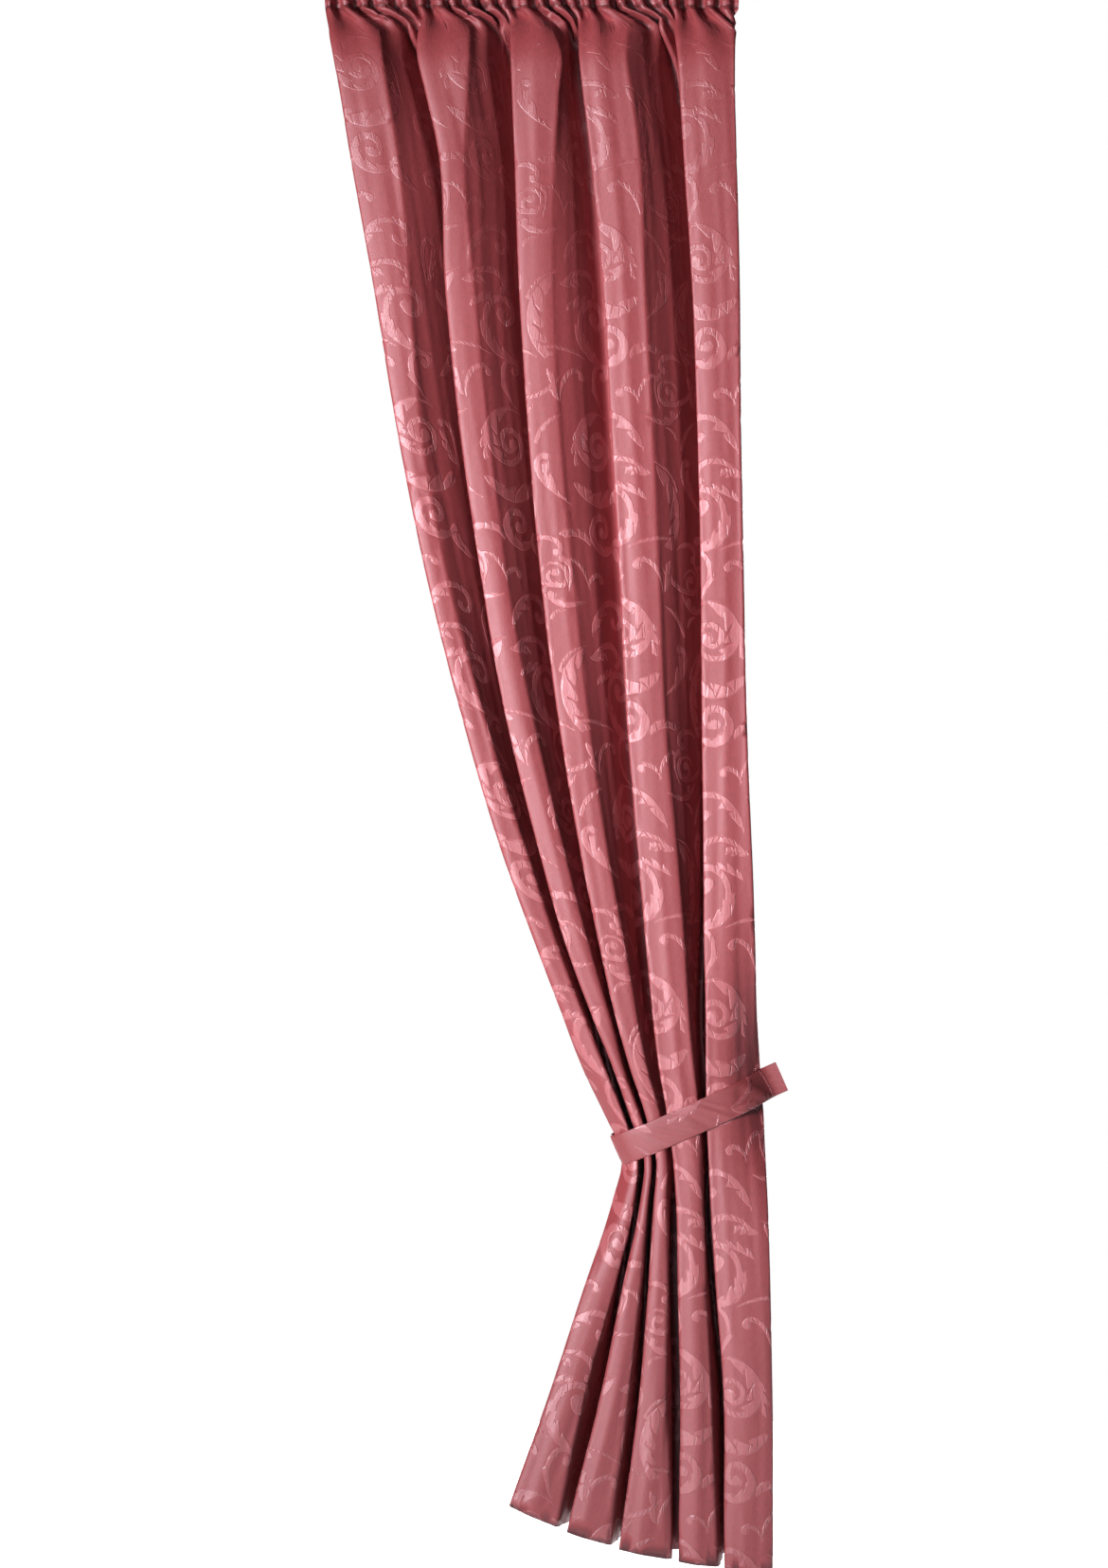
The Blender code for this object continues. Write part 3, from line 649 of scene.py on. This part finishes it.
class HungCloth:
    """The hanging cloth, as a lattice over its own flat shape that is read between its points."""

    def __init__(self, hem_turn):
        self.across = np.arange(0, CLOTH_WIDTH + CLOTH_STEP, CLOTH_STEP, dtype=float)
        drops = np.arange(0, SECTIONS[-1].drop + LATTICE_STEP, LATTICE_STEP, dtype=float)
        found = [section_line(drop, self.across) for drop in drops]
        sections = np.array([line for line, _ in found])
        self.drops = drops
        self.corners = np.array([corners for _, corners in found])
        down = np.arange(0, CLOTH_LENGTH + LATTICE_STEP, LATTICE_STEP, dtype=float)
        hung = down[:, None] * hem_drop(self.across) / CLOTH_LENGTH
        columns = range(len(self.across))
        lines = [read_along(hung[:, j], drops, sections[:, :, j]) for j in columns]
        points = np.concatenate([np.stack(lines, axis=1), -hung[:, :, None]], axis=-1)
        lift = relief(self.across[None], down[:, None])
        for line in self.edge_lines(hung[:, 0])[1::2]:
            lift = lift + BEND_RIDGE * np.exp(-(((self.across - line[:, None]) / BEND_RIDGE_WIDTH) ** 2))
        points += facing(points) * lift[:, :, None]
        turned = int(hem_turn / LATTICE_STEP)
        behind = points[-2 : -turned - 2 : -1] - HEM_GAP * facing(points)[-2 : -turned - 2 : -1]
        self.points = np.concatenate([points, behind])
        self.normals = facing(self.points)
        self.length = CLOTH_LENGTH + turned * LATTICE_STEP

    def columns(self, down):
        """Places across the cloth for one row of its grid, closer where the cloth bends."""
        i = min(round(down / LATTICE_STEP), len(self.points) - 1)
        ways = unit(np.diff(self.points[i], axis=0))
        turned = norm(np.diff(ways, axis=0), axis=1)
        steps = running(CLOTH_STEP / COLUMN_STEP + turned / COLUMN_TURN)
        steps = np.append(steps, steps[-1] + CLOTH_STEP / COLUMN_STEP)
        return np.interp(np.linspace(0, steps[-1], math.ceil(steps[-1])), steps, self.across)

    def edge_lines(self, rows):
        """The lines down the cloth along the front edges of the strips, as columns of places."""
        marks = [1 + len(FOLD_ROUNDS) * fold + corner for fold in range(FOLDS + 1) for corner in (0, 2)]
        drops = np.minimum(rows, CLOTH_LENGTH)
        return [np.interp(drops, self.drops, self.corners[:, mark]) for mark in marks]


def swell(shape, s):
    """How wide something is at these shares of its length."""
    start, span, power = shape
    return np.sin(math.pi * (start + span * s)) ** power


def grown(row, s):
    """Points at these shares of a stroke's length, and the way that it runs there."""
    fine = np.linspace(0, 1, GROWTH_STEPS + 1)
    bend = row.bend_start + (row.bend_end - row.bend_start) * fine**3
    turn = np.radians((bend[1:] + bend[:-1]) / 2) * row.length / GROWTH_STEPS / BEND_EVERY
    ways = math.radians(row.way) + running(turn)
    middle = (ways[1:] + ways[:-1]) / 2
    x = row.x + running(np.cos(middle)) * row.length / GROWTH_STEPS
    y = row.y + running(np.sin(middle)) * row.length / GROWTH_STEPS
    return read_along(s, fine, np.stack([x, y], axis=1)), np.interp(s, fine, ways)


def onward(ways):
    """The unit vectors along these ways."""
    return np.stack([np.cos(ways), np.sin(ways)], axis=1)


def beside(ways):
    """The unit vectors square to these ways."""
    return np.stack([-np.sin(ways), np.cos(ways)], axis=1)


def lobed(row, shape):
    """The points of this shape, as shares along a lobe and out from it, on every lobe of a leaf."""
    count = abs(row.lobes)
    number = np.repeat(np.arange(count), len(shape))
    along, out = np.tile(shape, (count, 1)).T
    line, ways = grown(row, np.minimum((number + along) / count, 1))
    reach = row.reach * swell(LOBE_SWELL, (number + 0.5) / count) * out
    side = math.copysign(1, row.lobes) * beside(ways)
    return line + (side + LOBE_LEAN * onward(ways)) * reach[:, None]


def leaf(row):
    """The outline of one lobed leaf, and points along its inside."""
    s = np.linspace(0, 1, 2 * abs(row.lobes) + 1)
    line, ways = grown(row, s)
    half = row.width / 2 * swell(STEM_SWELL, s)
    stem = line - math.copysign(1, row.lobes) * beside(ways) * half[:, None]
    return np.concatenate([lobed(row, LOBE), stem[::-1]]), lobed(row, LOBE_INSIDE)


def stroke(row):
    """The outline of one plain stroke, and points along its inside."""
    steps = max(int(row.length / STROKE_STEP), STROKE_LEAST_STEPS)
    s = 1 - (1 - np.linspace(0, 1, steps + 1)) ** STROKE_TIGHTENING
    line, ways = grown(row, s)
    half = row.width / 2 * swell(STROKE_SWELL, s)
    side = beside(ways) * half[:, None]
    return np.concatenate([line + side, (line - side)[::-1]]), line[1:-1]


def knob(row):
    """The round bud at a stroke's end, and its middle."""
    line, ways = grown(row, np.ones(1))
    middle = line + beside(ways) * math.copysign(row.knob, row.bend_end) * KNOB_SET_IN
    turn = np.linspace(0, math.tau, KNOB_SIDES, endpoint=False)
    return middle + row.knob * onward(turn), middle


def repeat_shapes():
    """Every outline of one repeat of the pattern, with points inside it, in millimetres."""
    shapes = [leaf(row) if row.lobes else stroke(row) for row in SCROLLS]
    shapes += [knob(row) for row in SCROLLS if row.knob]
    flip = np.array([-1, 1])
    shift = np.array([DROP_MIRROR, REPEAT_DOWN / 2])
    return shapes + [(outline[::-1] * flip + shift, inside * flip + shift) for outline, inside in shapes]


def placed_shapes(width, length, start):
    """The pattern's shapes that touch a piece of cloth, where start is a corner of a repeat."""
    placed = []
    for outline, inside in repeat_shapes():
        low = outline.min(axis=0)
        high = outline.max(axis=0)
        for i in range(-REPEATS_BESIDE, int(width / REPEAT_ACROSS) + REPEATS_BESIDE):
            for j in range(-REPEATS_BESIDE, int(length / REPEAT_DOWN) + REPEATS_BESIDE):
                move = np.array([start[0] + i * REPEAT_ACROSS, start[1] + j * REPEAT_DOWN])
                if np.all(low + move < [width, length]) and np.all(high + move > 0):
                    placed.append((outline + move, inside + move))
    return placed


def wound(points, outline):
    """Which of these points the outline goes round."""
    x, y = points[:, :1], points[:, 1:]
    ahead = np.roll(outline, -1, axis=0)
    cross = (ahead[:, 0] - outline[:, 0]) * (y - outline[:, 1])
    cross = cross - (x - outline[:, 0]) * (ahead[:, 1] - outline[:, 1])
    up = (outline[:, 1] <= y) & (ahead[:, 1] > y) & (cross > 0)
    down = (outline[:, 1] > y) & (ahead[:, 1] <= y) & (cross < 0)
    return up.sum(axis=1) != down.sum(axis=1)


def outline_distance(points, outline):
    """How far each point is from the outline."""
    edge = np.roll(outline, -1, axis=0) - outline
    to_point = points[:, None] - outline
    t = (to_point * edge).sum(axis=2) / np.maximum((edge * edge).sum(axis=1), LEAST)
    away = to_point - np.clip(t, 0, 1)[:, :, None] * edge
    return norm(away, axis=2).min(axis=1)


def boxed(points, low, high):
    """Which of these points lie between two corners."""
    return np.all((points > low) & (points < high), axis=1)


Woven = namedtuple("Woven", "places triangles figured depth")


def run_edges(run):
    """The edges that join each index of a run to the next."""
    run = [int(index) for index in run]
    return list(zip(run[:-1], run[1:]))


def cut_lines(rows, columns, lines, shapes):
    """The points of a flat piece's grid, folds and scrolls, and the edges that its cut keeps."""
    most = np.array([columns[0][-1], rows[-1]]) - CUT_MARGIN
    points = [
        np.stack([places, np.full(len(places), row)], axis=1) for row, places in zip(rows, columns)
    ]
    firsts = np.cumsum([0] + [len(places) for places in columns])
    count = int(firsts[-1])
    edges = run_edges(firsts[:-1]) + run_edges(firsts[1:] - 1)
    hem = int(np.argmin(abs(rows - CLOTH_LENGTH)))
    for k in (0, hem, len(rows) - 1):
        edges += run_edges(range(firsts[k], firsts[k + 1]))
    for line in lines:
        edges += run_edges(range(count, count + len(rows)))
        points.append(np.stack([line, rows], axis=1))
        count += len(rows)
    for outline, inside in shapes:
        ring = range(count, count + len(outline))
        edges += run_edges([*ring, ring[0]])
        kept = inside[boxed(inside, CUT_MARGIN, most)]
        points += [outline, kept]
        count += len(outline) + len(kept)
    return np.concatenate(points), edges


def in_scrolls(places, triangles, shapes):
    """Which triangles belong to a scroll, and how deep in a scroll each corner lies."""
    middles = places[triangles].mean(axis=1)
    figured = np.zeros(len(triangles), bool)
    depth = np.zeros(len(places))
    for outline, _ in shapes:
        low, high = outline.min(axis=0), outline.max(axis=0)
        near = np.flatnonzero(boxed(middles, low, high))
        figured[near] |= wound(middles[near], outline)
        near = np.flatnonzero(boxed(places, low, high))
        near = near[wound(places[near], outline)]
        if len(near):
            depth[near] = np.maximum(depth[near], outline_distance(places[near], outline))
    return figured, depth


def woven(rows, columns, lines, start):
    """A flat piece of the cloth cut into triangles that follow the woven scrolls.

    columns holds the places across the cloth for each row, and lines are folds that no triangle
    crosses, each as its places across the cloth at every row.
    """
    width, length = columns[0][-1], rows[-1]
    shapes = placed_shapes(width, length, start)
    points, edges = cut_lines(rows, columns, lines, shapes)
    corners = [Vector(point) for point in (points / [1, ROW_STRETCH]).tolist()]
    found, _, faces, *_ = delaunay_2d_cdt(corners, edges, [], 0, CUT_CLOSE)
    places = np.array([corner[:] for corner in found]) * [1, ROW_STRETCH]
    triangles = np.array([face[::-1] for face in faces])
    inside = boxed(places[triangles].mean(axis=1), 0, [width, length])
    used, triangles = np.unique(triangles[inside], return_inverse=True)
    places, triangles = places[used], triangles.reshape(-1, 3)
    return Woven(places, triangles, *in_scrolls(places, triangles, shapes))


def row_places(length):
    """Places down the cloth for the rows of its grid."""
    starts = [start for start, _ in ROW_STEPS] + [length]
    spans = [
        np.linspace(start, end, max(round((end - start) / step), 1), endpoint=False)
        for (start, step), end in zip(ROW_STEPS, starts[1:])
    ]
    return np.concatenate([*spans, [length]])


def in_scene(name, data):
    """A new object of this data, in the scene."""
    obj = bpy.data.objects.new(name, data)
    bpy.context.scene.collection.objects.link(obj)
    return obj


def mesh_object(name, points, normals, cut):
    """A smooth mesh of a cut piece of cloth, where points holds its corners in millimetres.

    For its finish it keeps the cloth's own places as a UV map in metres, and the depth in a scroll.
    """
    mesh = bpy.data.meshes.new(name)
    mesh.from_pydata((points * MM).tolist(), [], cut.triangles.tolist())
    mesh.normals_split_custom_set_from_vertices(normals.tolist())
    corners = np.array([loop.vertex_index for loop in mesh.loops])
    layer = mesh.uv_layers.new(name="cloth")
    layer.data.foreach_set("uv", (cut.places[corners] * MM).ravel())
    depth = mesh.attributes.new("scroll_depth", "FLOAT", "POINT")
    depth.data.foreach_set("value", cut.depth)
    mesh.polygons.foreach_set("material_index", cut.figured.astype(int))
    return in_scene(name, mesh)


def make_panel(settings):
    """The curtain's one length of cloth, from the frill above its heading to its turned-up hem."""
    cloth = HungCloth(settings.hem_turn / MM)
    rows = row_places(cloth.length)
    columns = [cloth.columns(row) for row in rows]
    whole = woven(rows, columns, cloth.edge_lines(rows), np.array(REPEAT_START))
    column, row = (whole.places / [CLOTH_STEP, LATTICE_STEP]).T
    points = between(cloth.points, row, column)
    obj = mesh_object("curtain_cloth", points, unit(between(cloth.normals, row, column)), whole)
    dress(obj, "jacquard", (settings.ground_colour, settings.scroll_colour), settings, PINCH_DROP)
    return obj


class Nodes:
    """The node tree of a material or of the world, and short ways to add to it."""

    def __init__(self, owner, shader):
        self.owner = owner
        owner.use_nodes = True
        self.tree = owner.node_tree
        self.shader = self.tree.nodes[shader]

    def add(self, kind, inputs=(), **settings):
        node = self.tree.nodes.new(kind)
        for key, value in settings.items():
            setattr(node, key, value)
        for key, value in dict(inputs).items():
            self.feed(node.inputs[key], value)
        return node

    def feed(self, socket, value):
        if isinstance(value, bpy.types.NodeSocket):
            self.tree.links.new(value, socket)
        else:
            socket.default_value = value

    def maths(self, operation, *values):
        node = self.add("ShaderNodeMath", operation=operation)
        for socket, value in zip(node.inputs, values):
            self.feed(socket, value)
        return node.outputs[0]

    def ranged(self, value, low, high, new_low, new_high):
        node = self.add("ShaderNodeMapRange", interpolation_type="SMOOTHSTEP")
        for socket, entry in zip(node.inputs, (value, low, high, new_low, new_high)):
            self.feed(socket, entry)
        return node.outputs[0]

    def noise(self, place, row):
        scaled = self.add("ShaderNodeMapping", {"Vector": place, "Scale": row.stretch})
        inputs = {"Vector": scaled.outputs[0], "Scale": 1, "Detail": row.detail}
        return self.add("ShaderNodeTexNoise", inputs).outputs["Fac"]

    def mixed(self, blend, factor, first, second):
        node = self.add("ShaderNodeMix", data_type="RGBA", blend_type=blend)
        for index, value in zip(MIX_INPUTS, (factor, first, second)):
            self.feed(node.inputs[index], value)
        return node.outputs[MIX_OUTPUT]

    def finish(self, values):
        for key, value in values.items():
            self.feed(self.shader.inputs[key], value)


def weave_nodes(nodes, place, scale, direction):
    """The threads, the shade that the noises give the cloth, and how high its weave stands."""
    threads = nodes.noise(place, THREADS)
    shade = nodes.ranged(threads, *THREADS[2:])
    for row in (GRAINS, CLOUDS):
        shade = nodes.maths("MULTIPLY", shade, nodes.ranged(nodes.noise(place, row), *row[2:]))
    ribs = {"Vector": place, "Scale": scale, "Distortion": RIB_WANDER}
    weave = nodes.add("ShaderNodeTexWave", ribs, bands_direction=direction)
    height = nodes.maths("MULTIPLY", weave.outputs["Fac"], RIB_RISE)
    return threads, shade, nodes.maths("ADD", height, nodes.maths("MULTIPLY", threads, THREAD_RISE))


def scroll_with_painted_sheen(nodes, down, rise, ground, tint):
    """A scroll's rise and tint, where the tint's painted sheen goes towards the ground's near the
    heading and near the hem.
    """
    rise = nodes.maths("MULTIPLY", rise, nodes.ranged(down, *SCROLL_SHOWS, SCROLL_FLAT, 1.0))
    # painted sheen: how much of the scroll's lighter tint shows at this drop
    sheen_shown = nodes.ranged(down, *SCROLL_SHOWS, SCROLL_SHEEN_FIRST, 1.0)
    sheen_shown = nodes.maths("MULTIPLY", sheen_shown, nodes.ranged(down, *SCROLL_SHEEN_FADES, 1.0, SCROLL_SHEEN_LAST))
    return rise, nodes.mixed("MIX", sheen_shown, ground, tint)


def jacquard(name, colour, settings, figured, pinch):
    """The woven cloth, either its ground or a scroll, dented where stitches draw it in along this drop,
    and darkened there with painted shade.
    """
    nodes = Nodes(bpy.data.materials.new(name), "Principled BSDF")
    place = nodes.add("ShaderNodeUVMap", uv_map="cloth").outputs[0]
    direction = "X" if figured else "DIAGONAL"
    threads, shade, height = weave_nodes(nodes, place, settings.weave_scale, direction)
    if pinch:
        down = nodes.add("ShaderNodeSeparateXYZ", {"Vector": place}).outputs["Y"]
        # painted shade and a dent along the drawn-in line
        away = nodes.maths("ABSOLUTE", nodes.maths("SUBTRACT", down, pinch))
        shade = nodes.maths("MULTIPLY", shade, nodes.ranged(away, *PINCH_SHADE_SPREAD, PINCH_SHADE, 1.0))
        height = nodes.maths("ADD", height, nodes.ranged(away, 0.0, PINCH_REACH, -PINCH_DENT, 0.0))
    tint = (*colour, 1)
    rough = settings.scroll_roughness if figured else settings.ground_roughness
    if figured:
        depth = nodes.add("ShaderNodeAttribute", attribute_name="scroll_depth").outputs["Fac"]
        rise = nodes.ranged(depth, 0.0, SCROLL_EDGE, 0.0, settings.scroll_rise)
        if pinch:
            # the scrolls' painted sheen fades near the heading and near the hem
            rise, tint = scroll_with_painted_sheen(nodes, down, rise, (*settings.ground_colour, 1), tint)
        height = nodes.maths("ADD", height, rise)
    spread = nodes.add("ShaderNodeCombineColor", {"Red": shade, "Green": shade, "Blue": shade})
    smooth, coarse = rough - THREAD_ROUGHNESS, rough + THREAD_ROUGHNESS
    bump = nodes.add("ShaderNodeBump", {"Height": height, "Distance": 1.0, "Strength": 1.0})
    nodes.finish({
        "Base Color": nodes.mixed("MULTIPLY", 1, tint, spread.outputs[0]),
        "Roughness": nodes.ranged(threads, *ROUGHNESS_RANGE, smooth, coarse),
        "Normal": bump.outputs[0],
        "Sheen Weight": settings.sheen,
        "Sheen Roughness": SHEEN_ROUGHNESS,
        "Sheen Tint": SHEEN_TINT,
        "Specular Tint": GLOSS_TINT,
        "Specular IOR Level": GLOSS_LEVELS[figured],
    })
    return nodes.owner


def dress(obj, name, colours, settings, pinch):
    """Gives a piece its two materials, which are the ground's and the scrolls'."""
    for part, colour, figured in zip(("ground", "scroll"), colours, (False, True)):
        obj.data.materials.append(jacquard(f"{name} {part}", colour, settings, figured, pinch))


def band_frame():
    """The band's middle left point, how far off its right one is, and the ways along and across."""
    start = np.array(BAND_LEFT, float)
    whole = BAND_RIGHT - start
    rising = unit(whole)
    return start, norm(whole), rising, np.array([-rising[2], 0, rising[0]])


def held_outline(cloth_points, reach):
    """The outline of the cloth that the band holds, from where its ends meet, clockwise."""
    start, _, rising, across = band_frame()
    moved = cloth_points - start
    under = np.abs(moved @ across) < BAND_WIDTH / 2
    held = np.stack([moved[under] @ rising, moved[under][:, 1]], axis=1)
    tip = np.array([[reach, 0.0]])
    flat = np.concatenate([held, tip])
    outline = flat[convex_hull_2d(flat.tolist())]
    first = int(np.argmax(outline[:, 0]))
    return np.roll(outline[::-1], first + 1, axis=0)


def band_path(cloth_points):
    """The middle of the band's thickness, from its front end round the bundle to its back end."""
    _, reach, _, _ = band_frame()
    stand_off = BAND_CLEARANCE + BAND_THICKNESS / 2
    end_half = (BAND_END_GAP + BAND_THICKNESS) / 2
    outline = held_outline(cloth_points, reach - BAND_END_RUN)
    path = [(reach, -end_half), (reach - BAND_END_RUN, -end_half)]
    for before, corner, after in zip(outline, outline[1:], np.roll(outline, -2, axis=0)):
        angle, turned = (math.atan2(leg[0], -leg[1]) for leg in (corner - before, after - corner))
        swing = (turned - angle + math.pi) % math.tau - math.pi
        steps = max(int(abs(swing) / math.radians(BAND_CORNER_STEP)), 1)
        headings = np.linspace(angle, angle + swing, steps + 1)
        path.extend(corner + stand_off * onward(headings))
    path += [(reach - BAND_END_RUN, end_half), (reach, end_half)]
    return np.array(path)


def evenly_spaced(path, step):
    """The same path with points this far apart."""
    along = lengths_along(path)
    places = np.linspace(0, along[-1], round(along[-1] / step) + 1)
    return read_along(places, along, path), places


def band_profile():
    """The outline of the band's thickness, as places across it and out from its middle."""
    across = np.sin(np.linspace(-1, 1, BAND_COLUMNS) * math.pi / 2)
    edge = (1 - abs(across) ** BAND_EDGE_POWER) ** 0.5
    puff = BAND_PUFF * np.cos(across * math.pi / 2) ** 0.5
    groove = BAND_GROOVE * np.exp(-(((abs(across) - BAND_STITCHES) / BAND_STITCH_WIDTH) ** 2))
    front = np.stack([across * BAND_WIDTH / 2, BAND_THICKNESS / 2 * edge + puff - groove], axis=1)
    return np.concatenate([front, front[-2::-1] * [1, -1]])


def capped(cut, length):
    """A cut piece that is closed to a tube, with a flat face across each end."""
    caps = []
    for place in (0, length):
        ring = np.flatnonzero(cut.places[:, 1] == place)
        ring = ring[np.argsort(cut.places[ring, 0])]
        ring = ring if place == 0 else ring[::-1]
        caps += [(ring[0], second, third) for second, third in zip(ring[1:-1], ring[2:])]
    figured = np.append(cut.figured, np.zeros(len(caps), bool))
    return cut._replace(triangles=np.concatenate([cut.triangles, caps]), figured=figured)


def make_tie_back(settings, cloth_points):
    """The band, from its front end round the bundle to its back end."""
    start, _, rising, across = band_frame()
    path, along = evenly_spaced(band_path(cloth_points), BAND_STEP)
    smooth = np.stack([eased(path[:, k], BAND_SOFTNESS) for k in range(2)], axis=1)
    middle = start + smooth[:, :1] * rising + smooth[:, 1:] * np.array([0, 1, 0])
    outward = unit(np.cross(np.gradient(middle, axis=0), across))
    profile = band_profile()
    around = lengths_along(profile)
    lift = np.zeros((len(along), len(profile)))
    for place, lean, height, width in BAND_CREASES:
        lift += height * np.exp(-(((along[:, None] - place - lean * profile[:, 0]) / width) ** 2))
    lift *= 1 - (profile[:, 0] / BAND_WIDTH * 2) ** CREASE_POWER
    points = middle[:, None] + profile[:, :1] * across
    points = points + (profile[:, 1] + lift)[:, :, None] * outward[:, None]
    cut = capped(woven(along, [around] * len(along), [], np.array(BAND_REPEAT_START)), along[-1])
    row = np.interp(cut.places[:, 1], along, np.arange(len(along)))
    column = np.interp(cut.places[:, 0], around, np.arange(len(around)))
    normals = unit(between(facing(points), row, column))
    obj = mesh_object("tie_back_band", between(points, row, column), normals, cut)
    dress(obj, "band", (settings.band_colour, settings.band_scroll_colour), settings, None)
    return obj


class CurtainSettings(PropertyGroup):
    ground_colour: FloatVectorProperty(
        name="Ground colour", description="Colour of the ground weave",
        subtype="COLOR", default=(0.31, 0.045, 0.052), min=0, max=1,
    )
    # The scrolls' colours are lighter than the grounds' partly as painted sheen of their satin floats.
    scroll_colour: FloatVectorProperty(
        name="Scroll colour", description="Colour of the woven scrolls",
        subtype="COLOR", default=(0.46, 0.108, 0.122), min=0, max=1,
    )
    band_colour: FloatVectorProperty(
        name="Band colour", description="Colour of the tie-back band",
        subtype="COLOR", default=(0.28, 0.042, 0.047), min=0, max=1,
    )
    band_scroll_colour: FloatVectorProperty(
        name="Band scroll colour", description="Colour of the scrolls on the tie-back band",
        subtype="COLOR", default=(0.36, 0.076, 0.086), min=0, max=1,
    )
    scroll_rise: FloatProperty(
        name="Scroll rise", description="How far the scrolls stand off the ground weave",
        default=0.0006, unit="LENGTH",
    )
    ground_roughness: FloatProperty(
        name="Ground roughness", description="Roughness of the ground weave", default=0.55, min=0, max=1,
    )
    scroll_roughness: FloatProperty(
        name="Scroll roughness", description="Roughness of the scrolls", default=0.45, min=0, max=1,
    )
    sheen: FloatProperty(
        name="Sheen", description="Weight of the cloth's sheen", default=0.04, min=0, max=1,
    )
    weave_scale: FloatProperty(
        name="Weave scale", description="Ribs of the weave in each metre", default=150, min=1,
    )
    hem_turn: FloatProperty(
        name="Hem turn", description="Cloth turned up behind the hem", default=0.06, unit="LENGTH",
    )


class StageSettings(PropertyGroup):
    key_power: FloatProperty(
        name="Key light", description="Power of the soft light at the left", default=54, unit="POWER",
    )
    front_power: FloatProperty(
        name="Front light", description="Power of the light by the camera", default=30, unit="POWER",
    )
    side_power: FloatProperty(
        name="Side lights", description="Power of the light at each side", default=38, unit="POWER",
    )
    back_power: FloatProperty(
        name="Back light", description="Power of the light behind the cloth", default=60, unit="POWER",
    )
    ambient: FloatProperty(
        name="Ambient", description="Brightness of the light from all round", default=0.02, min=0,
    )
    floor_width: FloatProperty(
        name="Floor width", description="Width of the plain floor", default=5.0, unit="LENGTH",
    )


class CURTAIN_OT_panel(Operator):
    """Make the hanging cloth"""

    bl_idname = "curtain.panel"
    bl_label = "Curtain cloth"

    def execute(self, context):
        obj = make_panel(context.scene.jacquard_curtain)
        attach(obj, "root")
        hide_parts("curtain_panel")
        return {"FINISHED"}


class CURTAIN_OT_tie_back(Operator):
    """Make the tie-back band round the cloth"""

    bl_idname = "curtain.tie_back"
    bl_label = "Tie-back band"

    def execute(self, context):
        settings = context.scene.jacquard_curtain
        points = HungCloth(0).points.reshape(-1, 3)
        obj = make_tie_back(settings, points)
        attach(obj, "root")
        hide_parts("tie_back")
        return {"FINISHED"}


class CURTAIN_OT_stage(Operator):
    """Make the floor, the lights and the camera"""

    bl_idname = "curtain.stage"
    bl_label = "Studio"

    def execute(self, context):
        make_stage(context.scene.curtain_stage)
        return {"FINISHED"}


def soft_light(row, power):
    """One rectangular soft light."""
    name, place, target, size, spread = row
    data = bpy.data.lights.new(name, "AREA")
    data.shape = "RECTANGLE"
    data.size, data.size_y = size
    data.energy = power
    data.spread = math.radians(spread)
    light = in_scene(name, data)
    light.visible_camera = False
    light.location = place
    light.rotation_euler = (Vector(target) - Vector(place)).to_track_quat("-Z", "Y").to_euler()
    return light


def make_camera():
    """The camera that sees the curtain as the photo does."""
    data = bpy.data.cameras.new("camera")
    data.sensor_fit = "VERTICAL"
    data.sensor_height = CAMERA_SENSOR
    data.lens = CAMERA_LENS
    camera = in_scene("camera", data)
    camera.location = CAMERA_PLACE
    camera.rotation_euler = (math.pi / 2, 0, 0)
    bpy.context.scene.camera = camera


def make_floor(width):
    """The plain pale floor."""
    half = width / 2
    corners = [(-half, FLOOR_FRONT), (half, FLOOR_FRONT), (half, FLOOR_BACK), (-half, FLOOR_BACK)]
    mesh = bpy.data.meshes.new("floor")
    mesh.from_pydata([(x, y, FLOOR_Z) for x, y in corners], [], [(0, 1, 2, 3)])
    floor = in_scene("floor", mesh)
    nodes = Nodes(bpy.data.materials.new("pale floor"), "Principled BSDF")
    nodes.finish({
        "Base Color": FLOOR_COLOUR,
        "Roughness": FLOOR_ROUGHNESS,
        "Emission Color": WHITE,
        "Emission Strength": FLOOR_GLOW,
    })
    mesh.materials.append(nodes.owner)
    floor.visible_diffuse = False


def make_world(ambient):
    """The background, which is white to the camera and gives this much light."""
    world = bpy.data.worlds.new("studio")
    bpy.context.scene.world = world
    nodes = Nodes(world, "Background")
    seen = nodes.add("ShaderNodeLightPath").outputs["Is Camera Ray"]
    nodes.finish({"Color": WHITE, "Strength": nodes.ranged(seen, 0, 1, ambient, 1)})


def make_stage(settings):
    """The camera, the floor, the lights and the pale background."""
    make_camera()
    make_floor(settings.floor_width)
    soft_light(KEY_LIGHT, settings.key_power)
    soft_light(FRONT_LIGHT, settings.front_power).visible_diffuse = False
    soft_light(BACK_LIGHT, settings.back_power)
    for row in SIDE_LIGHTS:
        soft_light(row, settings.side_power).visible_glossy = False
    make_world(settings.ambient)
    bpy.context.scene.view_settings.view_transform = "Standard"


class CURTAIN_PT_sidebar(Panel):
    bl_idname = "CURTAIN_PT_sidebar"
    bl_label = "Jacquard curtain"
    bl_space_type = "VIEW_3D"
    bl_region_type = "UI"
    bl_category = "Curtain"

    def draw(self, context):
        layout = self.layout
        for settings in (context.scene.jacquard_curtain, context.scene.curtain_stage):
            box = layout.box()
            for key in settings.__annotations__:
                box.prop(settings, key)
        for operator in (CURTAIN_OT_panel, CURTAIN_OT_tie_back, CURTAIN_OT_stage):
            layout.operator(operator.bl_idname)


CLASSES = (
    CurtainSettings,
    StageSettings,
    CURTAIN_OT_panel,
    CURTAIN_OT_tie_back,
    CURTAIN_OT_stage,
    CURTAIN_PT_sidebar,
)


def register():
    for cls in CLASSES:
        bpy.utils.register_class(cls)
    bpy.types.Scene.jacquard_curtain = PointerProperty(type=CurtainSettings)
    bpy.types.Scene.curtain_stage = PointerProperty(type=StageSettings)


def unregister():
    del bpy.types.Scene.curtain_stage
    del bpy.types.Scene.jacquard_curtain
    for cls in reversed(CLASSES):
        bpy.utils.unregister_class(cls)


def main():
    register()
    bpy.ops.curtain.stage()
    bpy.ops.curtain.panel()
    bpy.ops.curtain.tie_back()


if __name__ == "__main__":
    main()
